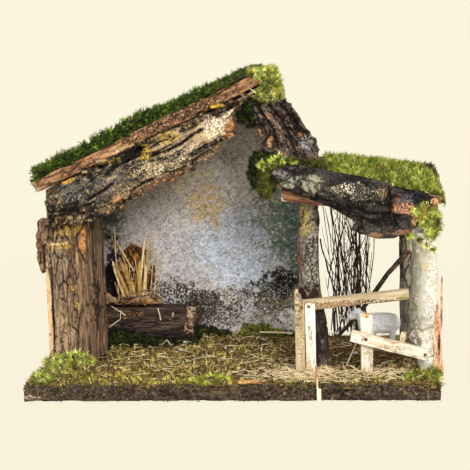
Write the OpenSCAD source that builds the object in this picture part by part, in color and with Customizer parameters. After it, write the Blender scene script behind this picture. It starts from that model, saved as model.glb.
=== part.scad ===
// Wooden nativity stable: a mossy board base, a plastered rear wall, a main bay
// under a bark and moss roof, and an open shed bay carried on birch posts.
// X runs left to right, Y from the open front to the back, Z up.
// The origin is the centre of the base board's underside.

/* [Base board] */
// Width of the base board
base_w = 420; // [380:5:450]
// Depth of the base board, front to back
base_d = 240; // [230:2:270]
// Thickness of the base board
base_t = 12; // [9:0.5:18]

/* [Ground cover] */
// Mean thickness of the moss and earth carpet
ground_t = 5; // [3:0.5:7]
// How far the carpet's lumps rise and fall
ground_lump = 1.2; // [0.2:0.1:1.6]
// Bare strip of board at the back of the shed, where the twigs stand
bare_strip = 22; // [18:1:30]

/* [Rear wall] */
// Thickness of the plywood panel
wall_t = 6; // [4:0.5:8]
// Thickness of the plaster coat
plaster_t = 4; // [2:0.5:5]
// Distance from the base's back edge to the panel
wall_inset = 2; // [0:0.5:4]
// Distance from the base's left edge to the wall
wall_side_inset = 10; // [7:1:14]
// Right end of the wall, measured from the base's middle
wall_right = 86; // [84:0.5:87]

/* [Main roof] */
// Pitch of the long roof
roof_pitch = 24.5; // [24:0.5:25.5]
// Height of the roof board's top at the eave line
eave_z = 219.5; // [215:0.5:224]
// Eave line, left of the base's middle
eave_x = 200; // [198:1:204]
// Thickness of the roof board
roof_board_t = 13; // [9:0.5:14]
// Front edge of the roof, forward of the base's middle
roof_front = 50; // [46:1:54]
// How far the board reaches past the eave line
roof_tail = 9; // [4:1:12]
// Ridge end of the roof board, right of the base's middle
ridge_x = 35; // [34:0.5:37]
// Thickness of the moss on the roof
roof_moss_t = 10; // [6:0.5:12]
// Depth of the bark fascia at its deepest
fascia_h = 55; // [44:1:60]
// Length of the bark fascia
fascia_l = 231; // [220:1:236]
// Thickness of the bark fascia
fascia_t = 30; // [24:1:34]

/* [Gable] */
// Width of the bark slab that makes the steep slope
gable_w = 74; // [70:0.5:76]
// Height of the bark slab that makes the steep slope
gable_h = 80; // [76:0.5:82]
// How deep the bark relief is
bark_relief = 1.6; // [0.2:0.1:2.2]

/* [Shed roof] */
// Fall of the shed roof to the right
shed_pitch = 7; // [6:0.5:8]
// Fall of the shed roof to the front
shed_tilt = 3; // [2:0.5:4]
// Height of the shed board's top at its reference point
shed_z = 224; // [222:0.5:226]
// Thickness of the shed board
shed_board_t = 8; // [6:0.5:9]
// Thickness of the moss on the shed
shed_moss_t = 9; // [6:0.5:11]
// Left end of the shed board
shed_left = 50; // [48:1:54]
// Right end of the shed board
shed_right = 212; // [211:0.5:216]
// Front edge of the shed board, forward of the base's middle
shed_front = 75; // [74:0.5:78]
// Length of the half log along the shed's front
shed_bark_l = 168; // [162:1:170]
// Height span of the half log along the shed's front
shed_bark_h = 60; // [52:1:62]
// Thickness of the half log along the shed's front
shed_bark_t = 21; // [16:0.5:24]
// Radius of the pole behind it
rafter_r = 8; // [6:0.5:9]

/* [Posts] */
// Width of the split log on the left
trunk_w = 53; // [46:1:56]
// Depth of the split log on the left
trunk_d = 79; // [70:1:80]
// Thickness of its bark plates
plate_t = 7; // [5:0.5:8]
// Radius of the middle birch post
mid_r = 12; // [10:0.5:13]
// Radius of the right birch post
right_r = 15; // [12:0.5:15.5]
// Radius of the rear post
rear_r = 11; // [8:0.5:12]
// Thickness of the bark slab on the left side
side_slab_t = 9; // [6:0.5:10]

/* [Fence] */
// Width of a fence slat
slat_w = 10.5; // [8:0.5:11]
// Thickness of a fence slat
slat_t = 6; // [4:0.5:7]
// Height of the tall fence post
fence_h = 93; // [86:1:98]
// Height of the upper rail's middle at its left end
upper_rail_z = 85; // [80:0.5:87]
// Width of the rails
rail_w = 12; // [9:0.5:13]
// Thickness of the rails
rail_t = 7; // [5:0.5:8]

/* [Manger] */
// Length of the log at the wall's foot
log_l = 132; // [120:1:136]
// Thickness of the log at the wall's foot
log_d = 47; // [42:1:48]
// Number of reeds in the rack
reed_count = 15; // [9:3:18]
// Height of the tallest reed
reed_l = 86; // [60:1:92]

/* [Twig screen] */
// Number of twigs in each of three rows
twig_count = 8; // [5:1:10]
// Radius of a twig at its foot
twig_r = 1.1; // [0.8:0.1:1.1]

/* [Sheep] */
// Length of the sheep, nose to rump
sheep_l = 57; // [50:1:60]

/* [Hidden] */

fit_gap = 0.3;              // clearance between glued pieces
overrun = 2;                // how far a cutter passes its surface
deck_z = base_t;
front_y = -base_d / 2;
back_y = base_d / 2;
left_x = -base_w / 2;
panel_back = back_y - wall_inset;
panel_front = panel_back - wall_t;
plaster_front = panel_front - plaster_t;
wall_left = left_x + wall_side_inset;
room_back = plaster_front - fit_gap;

// Heights of the main roof board's top and underside above a given x
function roof_top(x) = eave_z + tan(roof_pitch) * (x + eave_x);
function roof_under(x) = roof_top(x) - roof_board_t / cos(roof_pitch);
under_roof = function(x, y) roof_under(x) - fit_gap;

// Heights of the shed board's top and underside above a given place
shed_x = 80;                // reference point of the shed roof's two falls
function shed_top(x, y) =
    shed_z - tan(shed_pitch) * (x - shed_x) + tan(shed_tilt) * (y - room_back);
shed_drop = shed_board_t * sqrt(1 + pow(tan(shed_pitch), 2) + pow(tan(shed_tilt), 2));
under_shed = function(x, y) shed_top(x, y) - shed_drop - fit_gap;

// Even, repeatable unevenness from -1 to 1, with u and v counted in steps
function ripple(u, v, seed) =
    (sin(u * 137 + seed * 71) + sin(v * 211 + seed * 37) + sin((u + v) * 97 + seed * 13)) / 3;
function total(list, i = 0) = i < len(list) ? list[i] + total(list, i + 1) : 0;
function centre(ring) = [for (axis = [0:2]) total([for (p = ring) p[axis]]) / len(ring)];

// A closed skin over rings of points, each clockwise as seen from the far end
module loft(rings) {
    n = len(rings[0]);
    m = len(rings);
    points = concat([for (r = rings) each r], [centre(rings[0]), centre(rings[m - 1])]);
    sides = [for (i = [0:m - 2], j = [0:n - 1])
        let (a = i * n + j, b = i * n + (j + 1) % n) each [[a, b, a + n], [b, b + n, a + n]]];
    ends = [for (j = [0:n - 1])
        each [[m * n, (j + 1) % n, j], [m * n + 1, (m - 1) * n + j, (m - 1) * n + (j + 1) % n]]];
    polyhedron(points, concat(sides, ends), convexity = 8);
}

// A piece that stands on the board and meets what lies above it: ring(i) gives its places
module standing(ring, top, steps) {
    loft([for (i = [0:steps])
        [for (p = ring(i)) [p[0], p[1], deck_z + i / steps * (top(p[0], p[1]) - deck_z)]]]);
}

// A rough trunk within radius r: lean and girth are tables of shares over its height
module trunk(x, y, r, lean_share, girth_share, rough, seed, top, steps = 12, sides = 14) {
    standing(function(i) [for (k = [0:sides - 1])
        let (a = -360 * k / sides, t = i / steps)
        let (rr = r * lookup(t, girth_share) - rough * (1 + ripple(k, i, seed)) / 2)
        [x + r * lookup(t, lean_share) + rr * cos(a), y + rr * sin(a)]], top, steps);
}

// A stick of few sides through a list of places, from radius r1 to r2, level across at each place
module stick(places, r1, r2, sides = 5) {
    last = len(places) - 1;
    loft([for (i = [0:last])
        let (p = places[i], r = r1 + (r2 - r1) * i / last)
        [for (k = [0:sides - 1])
            let (a = -360 * k / sides) [p[0] + r * cos(a), p[1] + r * sin(a), p[2]]]]);
}

// A stick that lies along the ground from one place to another, square in section
module lying_stick(from, to, r) {
    run = to - from;
    side = [-run[1], run[0], 0] / norm([run[0], run[1]]) * r;
    loft([for (p = [from, to]) [p - side, p + [0, 0, r], p + side, p - [0, 0, r]]]);
}

// A lumpy cushion of moss on a flat face, size [length, depth, height], thin at its edges
module moss_pad(size, cells, lump, seed, rim_share = 0.4, back_share = 0.75) {
    rise = function(t, count) min(1, rim_share + (1 - rim_share) * min(t, 1 - t) * count);
    loft([for (i = [0:cells[0]])
        let (s = i / cells[0])
        concat([[s * size[0], size[1], 0], [s * size[0], 0, 0]],
            [for (j = [0:cells[1]])
                let (t = j / cells[1], thin = rise(s, cells[0]) * rise(t, cells[1]))
                let (full = thin * (1 - (1 - back_share) * t))
                [s * size[0], t * size[1], size[2] * full + lump * full * ripple(i, j, seed)]])]);
}

// A rounded tuft of moss round its own middle, size [width, depth, height]: lumps all round,
// but none where it meets its seat on the +X side, and flat at its foot
module moss_tuft(size, lump, seed, rings = 6, sides = 9) {
    cap_angle = 180 * 0.4 / (rings + 0.8);
    loft([for (i = [0:rings])
        let (a = 180 * (i + 0.4) / (rings + 0.8))
        [for (k = [0:sides - 1])
            let (b = -360 * k / sides, grow = 1 - lump * (1 + ripple(k, i, seed)) / 2 * pow(sin(b / 2), 2))
            [size[0] / 2 * sin(a) * grow * cos(b), size[1] / 2 * sin(a) * grow * sin(b),
             -size[2] / 2 * cos(a) / cos(cap_angle)]]]);
}

// A half log along X: flat back, rough front, between a low line and a high line
module half_log(x0, length, back, thick, low, high, seed, steps = 22, turns = 9) {
    loft([for (i = [0:steps])
        let (x = x0 + length * i / steps, mid = (low(x) + high(x)) / 2, half = (high(x) - low(x)) / 2)
        let (end = 0.55 + 0.45 * min(1, 4 * min(i, steps - i) / steps))
        [for (k = [0:turns])
            let (a = -90 + 180 * k / turns, bulge = pow(max(0, cos(a)), 0.6))
            let (depth = (thick * end - bark_relief * (1 + ripple(k, i, seed))) * bulge)
            [x, back - depth, mid + half * sin(a)]]]);
}

// Brads, driven in along -Z from the surface at zero, and the holes that they make
pilot_gap = 0.1;            // clearance round a shank in its hole
brad_r = 0.8;               // shank radius of a brad
brad_head_r = 1.6;          // head radius of a brad
brad_head_t = 0.8;          // head thickness of a brad
module brad(length) {
    translate([0, 0, -brad_head_t]) cylinder(r = brad_head_r, h = brad_head_t, $fn = 24);
    translate([0, 0, -length]) cylinder(r = brad_r, h = length - brad_head_t, $fn = 24);
}
module brad_hole(length, head = true) {
    if (head)
        translate([0, 0, -brad_head_t - pilot_gap])
            cylinder(r = brad_head_r + pilot_gap, h = brad_head_t + pilot_gap + overrun, $fn = 24);
    translate([0, 0, -length - pilot_gap]) cylinder(r = brad_r + pilot_gap, h = length + overrun, $fn = 24);
}

// Places of the posts and the fence
trunk_inset = 7;            // from the base's left edge to the split log
trunk_reach = 132.7;        // from the plaster to the front face of the split log
right_inset = 13;           // from the base's right edge to the right post's axis
rear_inset = 23;            // from the base's right edge to the rear post's axis
bark_rough = 1.4;           // relief of the posts' bark
fence_reach = 21.5;         // from the tall slat's left edge to the middle post's axis
trunk_left = left_x + trunk_inset;
trunk_front = room_back - trunk_reach;
trunk_back = trunk_front + trunk_d;
mid_x = wall_right;
right_x = base_w / 2 - right_inset;
right_y = -shed_front + right_r / 3;
rear_x = base_w / 2 - rear_inset;
fence_front = -shed_front;
fence_left = mid_x - fence_reach;
bark_back = -shed_front - fit_gap;
rafter_y = -shed_front + rafter_r;
mid_y = rafter_y + rafter_r + fit_gap + mid_r;
rear_y = room_back - fit_gap - rear_r - 3 * fit_gap;
rail_front = fence_front + slat_t + fit_gap;

// Screws up through the board into the posts: places of each, and their own sizes
screw_r = 1.5;              // shank radius
screw_head_r = 3;           // head radius
screw_head_t = 2.2;         // head height
screw_l = 34;               // whole length
trunk_mid = trunk_left + trunk_w / 2;
screw_places = [[trunk_mid, trunk_front + trunk_d * 0.3], [trunk_mid, trunk_front + trunk_d * 0.7],
                [mid_x + mid_r * 0.5, mid_y], [right_x, right_y], [rear_x, rear_y]];
module at_screws() {
    for (place = screw_places) translate([place[0], place[1], 0]) children();
}
module screw_holes() {
    at_screws() {
        translate([0, 0, -overrun])
            cylinder(r = screw_r + pilot_gap, h = screw_l + overrun + pilot_gap, $fn = 24);
        cylinder(r1 = screw_head_r + pilot_gap, r2 = screw_r + pilot_gap,
                 h = screw_head_t + pilot_gap, $fn = 24);
        translate([0, 0, -overrun]) cylinder(r = screw_head_r + pilot_gap, h = overrun, $fn = 24);
    }
}

// Brads up through the board into the wall panel
wall_brad_l = 30;           // length of a wall brad
wall_brad_share = [0.15, 0.5, 0.85];
wall_w = wall_right - wall_left;
panel_mid = panel_front + wall_t / 2;
module at_wall_brads() {
    for (share = wall_brad_share)
        translate([wall_left + share * wall_w, panel_mid, 0]) rotate([180, 0, 0]) children();
}

// Brads down through the roof board into the split log and the wall panel
roof_brad_l = 26;           // length of a roof brad
roof_run = (ridge_x + eave_x) / cos(roof_pitch);
trunk_run = (trunk_left + trunk_w * 0.33 + eave_x) / cos(roof_pitch);
roof_brad_places = [[trunk_run, trunk_front + trunk_d * 0.25], [trunk_run, trunk_front + trunk_d * 0.75],
                    [roof_run * 0.35, panel_mid], [roof_run * 0.75, panel_mid]];
module on_roof() {
    translate([-eave_x, 0, eave_z]) rotate([0, -roof_pitch, 0]) children();
}
module at_roof_brads() {
    on_roof() for (place = roof_brad_places) translate([place[0], place[1], 0]) children();
}

// Base board
module base_board() {
    color("#4a3526") difference() {
        translate([left_x, front_y, 0]) cube([base_w, base_d, base_t]);
        screw_holes();
        at_wall_brads() brad_hole(wall_brad_l);
    }
}

// Ground cover: a grid of heights, higher where the moss grows in clumps
cell_x_count = 34;
cell_y_count = 18;
cell_x = base_w / cell_x_count;
cell_y = (room_back - front_y) / cell_y_count;
clump_h = 5;                // how far the highest clump rises over the carpet
clump_r = 30;               // radius of a clump
clump_share = [[0.95, 0.06, 1], [0.86, 0.05, 0.6], [0.04, 0.1, 0.9], [0.1, 0.3, 0.6], [0.52, 0.96, 0.9],
               [0.42, 0.98, 0.6], [0.3, 0.8, 0.5], [0.62, 0.02, 0.4]];
function ground_height(i, j) =
    let (x = i * cell_x, y = j * cell_y)
    ground_t + ground_lump * ripple(i, j, 3)
    + total([for (c = clump_share)
        clump_h * c[2] * max(0, 1 - norm([x - c[0] * base_w, y - c[1] * base_d]) / clump_r)]);
// Height of the carpet's surface above a place, as its triangles run
function ground_z(x, y) =
    let (u = (x - left_x) / cell_x, v = (y - front_y) / cell_y)
    let (i = floor(u), j = floor(v), s = u - i, t = v - j)
    let (a = ground_height(i, j), b = ground_height(i, j + 1), c = ground_height(i + 1, j),
         d = ground_height(i + 1, j + 1))
    deck_z + (s + t <= 1 ? a + s * (c - a) + t * (b - a) : d + (1 - s) * (b - d) + (1 - t) * (c - d));
foot_h = deck_z + 4 * ground_t + clump_h;
module foot_hole(x, y, r) {
    translate([x, y, 0]) cylinder(r = (r + fit_gap) / cos(180 / 12), h = foot_h, $fn = 12);
}
module foot_box(low, high) {
    translate([low[0] - fit_gap, low[1] - fit_gap, 0])
        cube([high[0] - low[0] + 2 * fit_gap, high[1] - low[1] + 2 * fit_gap, foot_h]);
}
module ground_moss() {
    color("#5c6b28") difference() {
        loft([for (i = [0:cell_x_count])
            let (x = left_x + i * cell_x)
            concat([[x, room_back, deck_z], [x, front_y, deck_z]],
                [for (j = [0:cell_y_count]) [x, front_y + j * cell_y, deck_z + ground_height(i, j)]])]);
        foot_box([trunk_left - plate_t * 0.2, trunk_front - plate_t - fit_gap],
                 [trunk_left + trunk_w, room_back + overrun]);
        foot_box([manger_left, manger_y - log_r],
                 [manger_left + log_l + log_r * 0.15, room_back + overrun]);
        foot_box([wall_right, back_y - bare_strip], [base_w / 2 + overrun, back_y]);
        foot_hole(mid_x + mid_r * 0.5, mid_y, mid_r * 0.8);
        foot_hole(right_x, right_y, right_r * 0.8);
        foot_hole(rear_x, rear_y, rear_r);
        foot_hole(branch_foot[0] + branch_r, branch_foot[1] - branch_r / 2, 2 * branch_r);
        foot_box([fence_left, fence_front], [fence_left + 2 * slat_w + fit_gap, fence_front + slat_t]);
        foot_box([middle_slat_x, fence_front], [middle_slat_x + middle_slat_w, fence_front + slat_t]);
        for (side = [-1, 1], along = hoof_share)
            foot_hole(sheep_x + along * sheep_l, sheep_y + side * hoof_apart, hoof_r);
    }
}

// Rear wall: panel and plaster share one outline, which follows both roof slopes
gable_lap = 16;             // how far the steep bark slab reaches left of the ridge
gable_x = ridge_x - gable_lap;
gable_foot_z = 231;         // lowest point of the steep bark slab
function gable_point(share) = [gable_x + share[0] * gable_w, gable_foot_z + share[1] * gable_h];
gable_front_share = [[0.05, 0.77], [0.08, 0.59], [0.12, 0.36], [0.31, 0.24], [0.51, 0], [0.93, 0],
                     [1, 0.14], [0.91, 0.29], [0.73, 0.58], [0.54, 0.83]];
gable_back_share = [[0.19, 0.9], [0.26, 0.74], [0.42, 0.51], [0.635, 0.175], [0.77, 0], [0.93, 0],
                    [0.94, 0.02], [0.85, 0.11], [0.65, 0.44], [0.43, 0.74]];
wall_slope_x = gable_point(gable_back_share[0])[0] - 1.5 * fit_gap;
wall_foot_x = gable_point(gable_back_share[4])[0] - 1.5 * fit_gap;
module wall_outline(thick) {
    rotate([90, 0, 0]) linear_extrude(height = thick)
        polygon(concat([[wall_left, deck_z], [wall_right, deck_z]],
            [for (x = [wall_right, wall_foot_x]) [x, shed_top(x, room_back) - fit_gap]],
            [for (i = [3:-1:0]) gable_point(gable_back_share[i]) - 1.5 * [fit_gap, fit_gap]],
            [for (x = [wall_slope_x, wall_left]) [x, roof_under(x) - fit_gap]]));
}
module rear_wall_panel() {
    color("#b08a5a") difference() {
        translate([0, panel_back, 0]) wall_outline(wall_t);
        at_wall_brads() brad_hole(wall_brad_l, false);
        at_roof_brads() brad_hole(roof_brad_l, false);
    }
}
module wall_plaster() {
    color("#a9abb3") translate([0, panel_front, 0]) wall_outline(plaster_t);
}

// Left post: a split log, its loose bark plates, and a bark slab that closes the side
// Furrows run down its left side and back, between ribs that keep the outline
trunk_outline_share = [[0, 0.12], [0.07, 0.22], [0.01, 0.31], [0.02, 0.4], [0.08, 0.5], [0, 0.59], [0, 0.68],
                       [0.07, 0.78], [0.02, 0.87], [0.03, 0.95], [0.15, 1], [0.22, 0.955], [0.3, 1], [0.5, 0.99],
                       [0.58, 0.95], [0.66, 0.99], [0.97, 1], [1, 0.8], [0.96, 0.55], [0.92, 0.3], [0.85, 0.04],
                       [0.62, 0], [0.38, 0], [0.12, 0]];
module left_post_trunk() {
    steps = 12;
    color("#6e5340") difference() {
        standing(function(i) [for (k = [0:len(trunk_outline_share) - 1])
            let (o = trunk_outline_share[k], sink = 1 - bark_rough * (1 + ripple(k, i, 5)) / trunk_w)
            [trunk_mid + (o[0] - 0.5) * trunk_w * sink, trunk_front + trunk_d * (0.5 + (o[1] - 0.5) * sink)]],
            under_roof, steps);
        screw_holes();
        at_roof_brads() brad_hole(roof_brad_l, false);
    }
}

// A loose plate of bark on the split log's front, between two heights
module bark_plate(x0, width, z0, height, thick, seed, steps = 8, turns = 6) {
    back = trunk_front - fit_gap;
    loft([for (i = [0:steps])
        [for (k = [0:turns])
            let (t = k / turns, round_off = pow(sin(180 * t), 0.4))
            [x0 + width * (1 - t) + thick * 0.2 * ripple(i, k, seed) * round_off,
             back - (thick - bark_relief * (1 + ripple(k, i, seed)) / 2) * round_off,
             z0 + height * i / steps]]]);
}
ledge_z = 148.5;            // height of the pale ledge between the two plates
module left_post_bark_plate() {
    color("#7a6248") bark_plate(trunk_left, trunk_w * 0.6, deck_z, ledge_z - deck_z, plate_t, 2);
}
upper_plate_h = 19;         // height of the plate above the ledge
module left_post_bark_upper() {
    color("#8a7047")
        bark_plate(trunk_left - plate_t * 0.8, trunk_w * 0.72, ledge_z + fit_gap, upper_plate_h,
                   plate_t * 0.75, 4, 4);
}
curl_h = 34;                // height of the curl of bark on the left edge
module left_post_bark_curl() {
    steps = 6;
    color("#4b3626") loft([for (i = [0:steps])
        let (t = i / steps, w = plate_t * (0.6 + 0.6 * sin(180 * t)), x = trunk_left - 2 * fit_gap)
        [for (k = [0:6])
            let (a = 90 + 180 * k / 6)
            [x + w * cos(a) + fit_gap * ripple(i, k, 8), trunk_front + plate_t * (0.3 - sin(a)),
             ledge_z - curl_h + (curl_h - fit_gap) * t]]]);
}
module left_side_bark_slab() {
    steps = 10;
    color("#4f3d2e") standing(function(i) concat(
        [for (k = [0:6]) [trunk_left + bark_relief * (1 + ripple(k, i, 9)) / 2,
            trunk_back + fit_gap + (room_back - trunk_back - fit_gap) * k / 6]],
        [[trunk_left + side_slab_t, room_back], [trunk_left + side_slab_t, trunk_back + fit_gap]]),
        under_roof, steps);
}

// Main roof: board, moss and the long bark fascia under its front edge
module main_roof_board() {
    tail_x = -(eave_x + roof_tail);
    lean = roof_board_t * sin(roof_pitch);
    color("#7d4a2e") difference() {
        translate([0, back_y, 0]) rotate([90, 0, 0]) linear_extrude(height = back_y + roof_front)
            polygon([[tail_x, roof_top(tail_x)], [tail_x + lean, roof_under(tail_x + lean)],
                     [ridge_x, roof_under(ridge_x)], [ridge_x, roof_top(ridge_x)]]);
        at_roof_brads() brad_hole(roof_brad_l);
    }
}
module main_roof_moss() {
    color("#3f6324") on_roof() translate([-roof_tail / cos(roof_pitch), -roof_front, fit_gap])
        moss_pad([roof_run + roof_tail / cos(roof_pitch) - roof_moss_t / 2, back_y + roof_front, roof_moss_t],
                 [28, 12], roof_moss_t * 0.16, 6);
}
fascia_low_share = [[0, 0.62], [0.02, 0.65], [0.12, 0.83], [0.28, 1], [0.35, 0.95], [0.42, 0.89],
                    [0.56, 0.91], [0.69, 0.88], [0.81, 0.81], [0.88, 0.29], [0.91, 0.23], [1, 0.1]];
module main_roof_bark_fascia() {
    x0 = ridge_x - fascia_l;
    high = function(x) roof_under(x) - fit_gap;
    low = function(x) high(x) - fascia_h * lookup((x - x0) / fascia_l, fascia_low_share);
    color("#3d3226") half_log(x0, fascia_l, trunk_front - fit_gap, fascia_t, low, high, 11, 26, 10);
}

// Steep right slope: one slab of bark, a thick chunk in front and thinner behind, whose foot
// stands on the shed board
function blend(a, b, t) = a + (b - a) * t;
bare_y = trunk_front - fit_gap;
slab_slope = 52;            // slope of the steep bark slab
thin_y = trunk_front + plate_t;
function gable_mix(y) = lookup(y, [[bare_y, 1], [thin_y, 0]]);
function gable_edge(k, y) =
    let (p = gable_point(blend(gable_back_share[k], gable_front_share[k], gable_mix(y))))
    k == 4 || k == 5 ? [p[0], shed_top(p[0], y) + fit_gap] : p;
// Places, front to back, at which the slab and the moss over it have a ring each
function gable_stations(last) = concat([for (t = [0, 0.14, 0.5]) blend(-roof_front, bare_y, t)],
    [bare_y], [for (t = [0, 0.18, 0.44, 0.72, 1]) blend(thin_y, last, t)]);
// Behind the chunk the bark lies in ribs that run down the slope, with a furrow after each
rib_count = 5;              // ribs behind the chunk
rib_deep = 3;               // depth of the furrows
rib_reach = rib_count / (rib_count + 0.5);
function rib_stations(last) = concat([for (t = [0, 0.14, 0.5]) blend(-roof_front, bare_y, t)],
    [bare_y], [for (i = [0:2 * rib_count]) blend(thin_y, last, i / rib_count / 2 * rib_reach)], [last]);
module gable_bark_slab() {
    stations = rib_stations(panel_back);
    middle = gable_point([0.5, 0.5]);
    color("#4a3a2c") loft([for (i = [0:len(stations) - 1])
        [for (k = [0:9])
            let (y = stations[i], e = gable_edge(k, y), outer = k > 6)
            let (furrow = y > thin_y && y < panel_back && i % 2 == 1 ? rib_deep : 0)
            let (rough = outer ? bark_relief * abs(ripple(i, k, 7)) / 2 + furrow : 0)
            let (p = i == 0 && k != 4 && k != 5 ? blend(middle, e, 0.86) : e)
            [p[0] - rough * sin(slab_slope), y, p[1] - rough * cos(slab_slope)]]]);
}
cap_share = [[0, 0], [1, 0], [1, 0.3], [0.85, 0.66], [0.45, 0.95], [0, 1]];
module ridge_moss_cap() {
    stations = gable_stations(back_y);
    x0 = ridge_x + fit_gap;
    color("#6f8f2a") loft([for (i = [0:len(stations) - 1])
        let (y = stations[i], back = (y + roof_front) / (back_y + roof_front))
        let (wide = gable_w * blend(0.27, 0.15, back), end = i == 0 || i == len(stations) - 1 ? 0.8 : 1)
        let (a = gable_edge(0, y), b = gable_edge(9, y))
        let (top = roof_top(ridge_x) + roof_moss_t * blend(0.3, 0, back))
        [for (o = cap_share)
            let (x = x0 + wide * o[0] * (o[1] > 0 ? end - 0.1 * (1 + ripple(i, o[0] * 9, 4)) / 2 : 1))
            let (low = 5 * fit_gap + a[1] + (b[1] - a[1]) * (x - a[0]) / (b[0] - a[0]))
            [x, y, blend(low, top, o[1] * (o[0] > 0 ? 1 : end))]]]);
}
module gable_moss_clump() {
    size = [gable_w * 0.14, roof_front * 0.24, gable_h * 0.3];
    seat = gable_point(gable_front_share[1]);
    color("#4d6b22") translate([seat[0] - 2 * fit_gap - size[0] / 2, -roof_front + size[1], seat[1]])
        moss_tuft(size, 0.4, 3);
}

// Shed roof: board, moss with its drooping end, half log in front and the pole behind it
module shed_roof_board() {
    color("#8a6a48") loft([for (x = [shed_left, shed_right])
        [for (p = [[room_back, 1], [-shed_front, 1], [-shed_front, 0], [room_back, 0]])
            [x, p[0], shed_top(x, p[0]) - p[1] * shed_drop]]]);
}
shed_moss_rim_share = [[0, 0.45], [0.12, 1], [0.8, 1], [1, 0.5]];   // how it thins at its edges
module shed_roof_moss() {
    x0 = gable_x + gable_w + fit_gap;
    end = shed_right + fit_gap;
    stations = concat([for (i = [0:13]) [blend(x0, end, i / 13), 0, lookup(i / 13, shed_moss_rim_share)]],
        [[end + fit_gap, shed_drop, 0.45], [end + shed_moss_t * 0.4, shed_drop, 0.1],
         [end + shed_moss_t * 0.6, shed_drop, -0.4]]);
    across = 12;
    color("#7f9a35") loft([for (i = [0:len(stations) - 1])
        let (x = stations[i][0], under = fit_gap - stations[i][1])
        concat([for (y = [room_back, -shed_front]) [x, y, shed_top(x, y) + under]],
            [for (j = [0:across])
                let (t = j / across, y = blend(-shed_front, room_back, t))
                let (full = min(stations[i][2], lookup(t, shed_moss_rim_share)))
                [x, y, shed_top(x, y) + shed_moss_t * (0.86 * full + 0.1 * ripple(i, j, 9))]])]);
}
half_log_high_share = [[0, 0], [0.065, 0.12], [0.185, 0.17], [0.36, 0.04], [0.57, -0.07], [0.77, -0.25],
                       [0.92, -0.33], [1, -0.48]];
half_log_low_share = [[0, -0.06], [0.04, -0.18], [0.16, -0.4], [0.33, -0.55], [0.45, -0.77], [0.6, -0.98],
                      [0.71, -1.07], [0.84, -1.02], [1, -0.73]];
half_log_tip = 8;           // how far the half log's tip reaches past the board's left end
half_log_x = shed_left - half_log_tip;
half_log_edge = function(x, edge_share)
    shed_z + shed_bark_h * lookup((x - half_log_x) / shed_bark_l, edge_share);
half_log_low = function(x) half_log_edge(x, half_log_low_share);
half_log_high = function(x) half_log_edge(x, half_log_high_share);
module shed_front_half_log() {
    color("#3b322a")
        half_log(half_log_x, shed_bark_l, bark_back, shed_bark_t, half_log_low, half_log_high, 14);
}
pole_inset = 3;             // from the shed board's left end to the pole's end
module shed_rafter_pole() {
    x0 = shed_left + pole_inset;
    run = right_x - right_r - fit_gap - rafter_r * sin(shed_pitch) - x0;
    z0 = under_shed(x0, rafter_y) - rafter_r * sqrt(1 + pow(tan(shed_pitch), 2) + pow(tan(shed_tilt), 2));
    color("#9a7048") translate([x0, rafter_y, z0]) rotate([0, 90 + shed_pitch, 0])
        cylinder(r = rafter_r, h = run / cos(shed_pitch), $fn = 32);
}
module shed_moss_tuft_left() {
    size = [gable_w * 0.32, rafter_r * 2.6, shed_bark_h * 0.62];
    y = rafter_y + rafter_r * 0.6;
    color("#6f8f2a") translate([shed_left - fit_gap - size[0] / 2, y, shed_top(shed_left, y) - shed_drop / 2])
        moss_tuft(size, 0.4, 5);
}
notch_z = min([for (share = [-1:0.25:1]) half_log_low(right_x + share * right_r)]) - fit_gap;
module shed_moss_tuft_right() {
    size = [right_r, right_r * 0.8, right_r * 0.85];
    x = half_log_x + shed_bark_l - size[0] * 0.42;
    seat = [x, bark_back - size[1] / 2, half_log_low(x) - 3 * fit_gap - size[2] / 2];
    color("#7f9a35") translate(seat) rotate([0, 0, 90]) moss_tuft([size[1], size[0], size[2]], 0.3, 7);
}

// Posts of the shed
mid_lean_share = [[0, 0.54], [0.22, 0.42], [0.31, 0.05], [0.38, -0.37], [0.6, -0.67], [0.86, -0.5],
                  [1, -0.5]];
mid_girth_share = [[0, 0.64], [0.22, 0.67], [0.31, 0.9], [0.38, 1], [1, 1]];
module middle_birch_post() {
    color("#a39c8c") difference() {
        trunk(mid_x, mid_y, mid_r, mid_lean_share, mid_girth_share, bark_rough, 2, under_shed, 16);
        screw_holes();
    }
}
right_lean_share = [[0, 0.07], [0.07, 0.07], [0.16, -0.1], [0.25, -0.4], [0.35, -0.07], [1, 0]];
right_girth_share = [[0, 0.55], [0.07, 0.6], [0.16, 0.85], [0.25, 1], [0.84, 0.97], [1, 0.95]];
module right_birch_post() {
    color("#d8d4c8") difference() {
        trunk(right_x, right_y, right_r, right_lean_share, right_girth_share, bark_rough, 6, under_shed, 16);
        translate([right_x - 2 * right_r, -shed_front - 2 * right_r, notch_z])
            cube([4 * right_r, 2 * right_r, shed_z]);
        screw_holes();
        at_fence_brads() brad_hole(fence_brad_l, false);
    }
}
peel_w = 4;                 // half width of the peeled strip
peel_t = 3;                 // thickness of the peeled strip
peel_l = 116;               // height of the peeled strip's upper end
peel_x = right_x + right_r * 0.72;
peel_share = [[0, 0], [0.25, 0.05], [0.5, 0.9], [0.8, 1], [1, 1.1]];
module right_post_peeled_bark() {
    steps = 10;
    foot_z = max([for (x = [peel_x, base_w / 2]) rest_z([x, right_y - peel_w], [x, right_y + peel_w])]);
    color("#b0602c") loft([for (i = [0:steps])
        let (t = i / steps, x = blend(peel_x, right_x + right_r + fit_gap, lookup(t, peel_share)))
        let (w = peel_w * (0.8 - 0.3 * t + 0.15 * ripple(i, 2, 3)))
        [for (p = [[0, -1], [0, 1], [1, 0.8], [1.1, -0.7]])
            [x + p[0] * peel_t * (1 - 0.4 * t), right_y + p[1] * w, foot_z + (peel_l - foot_z) * t]]]);
}
rear_lean_share = [[0, 0], [0.5, -0.1], [1, 0]];
rear_girth_share = [[0, 1], [0.4, 0.88], [1, 0.9]];
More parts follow.
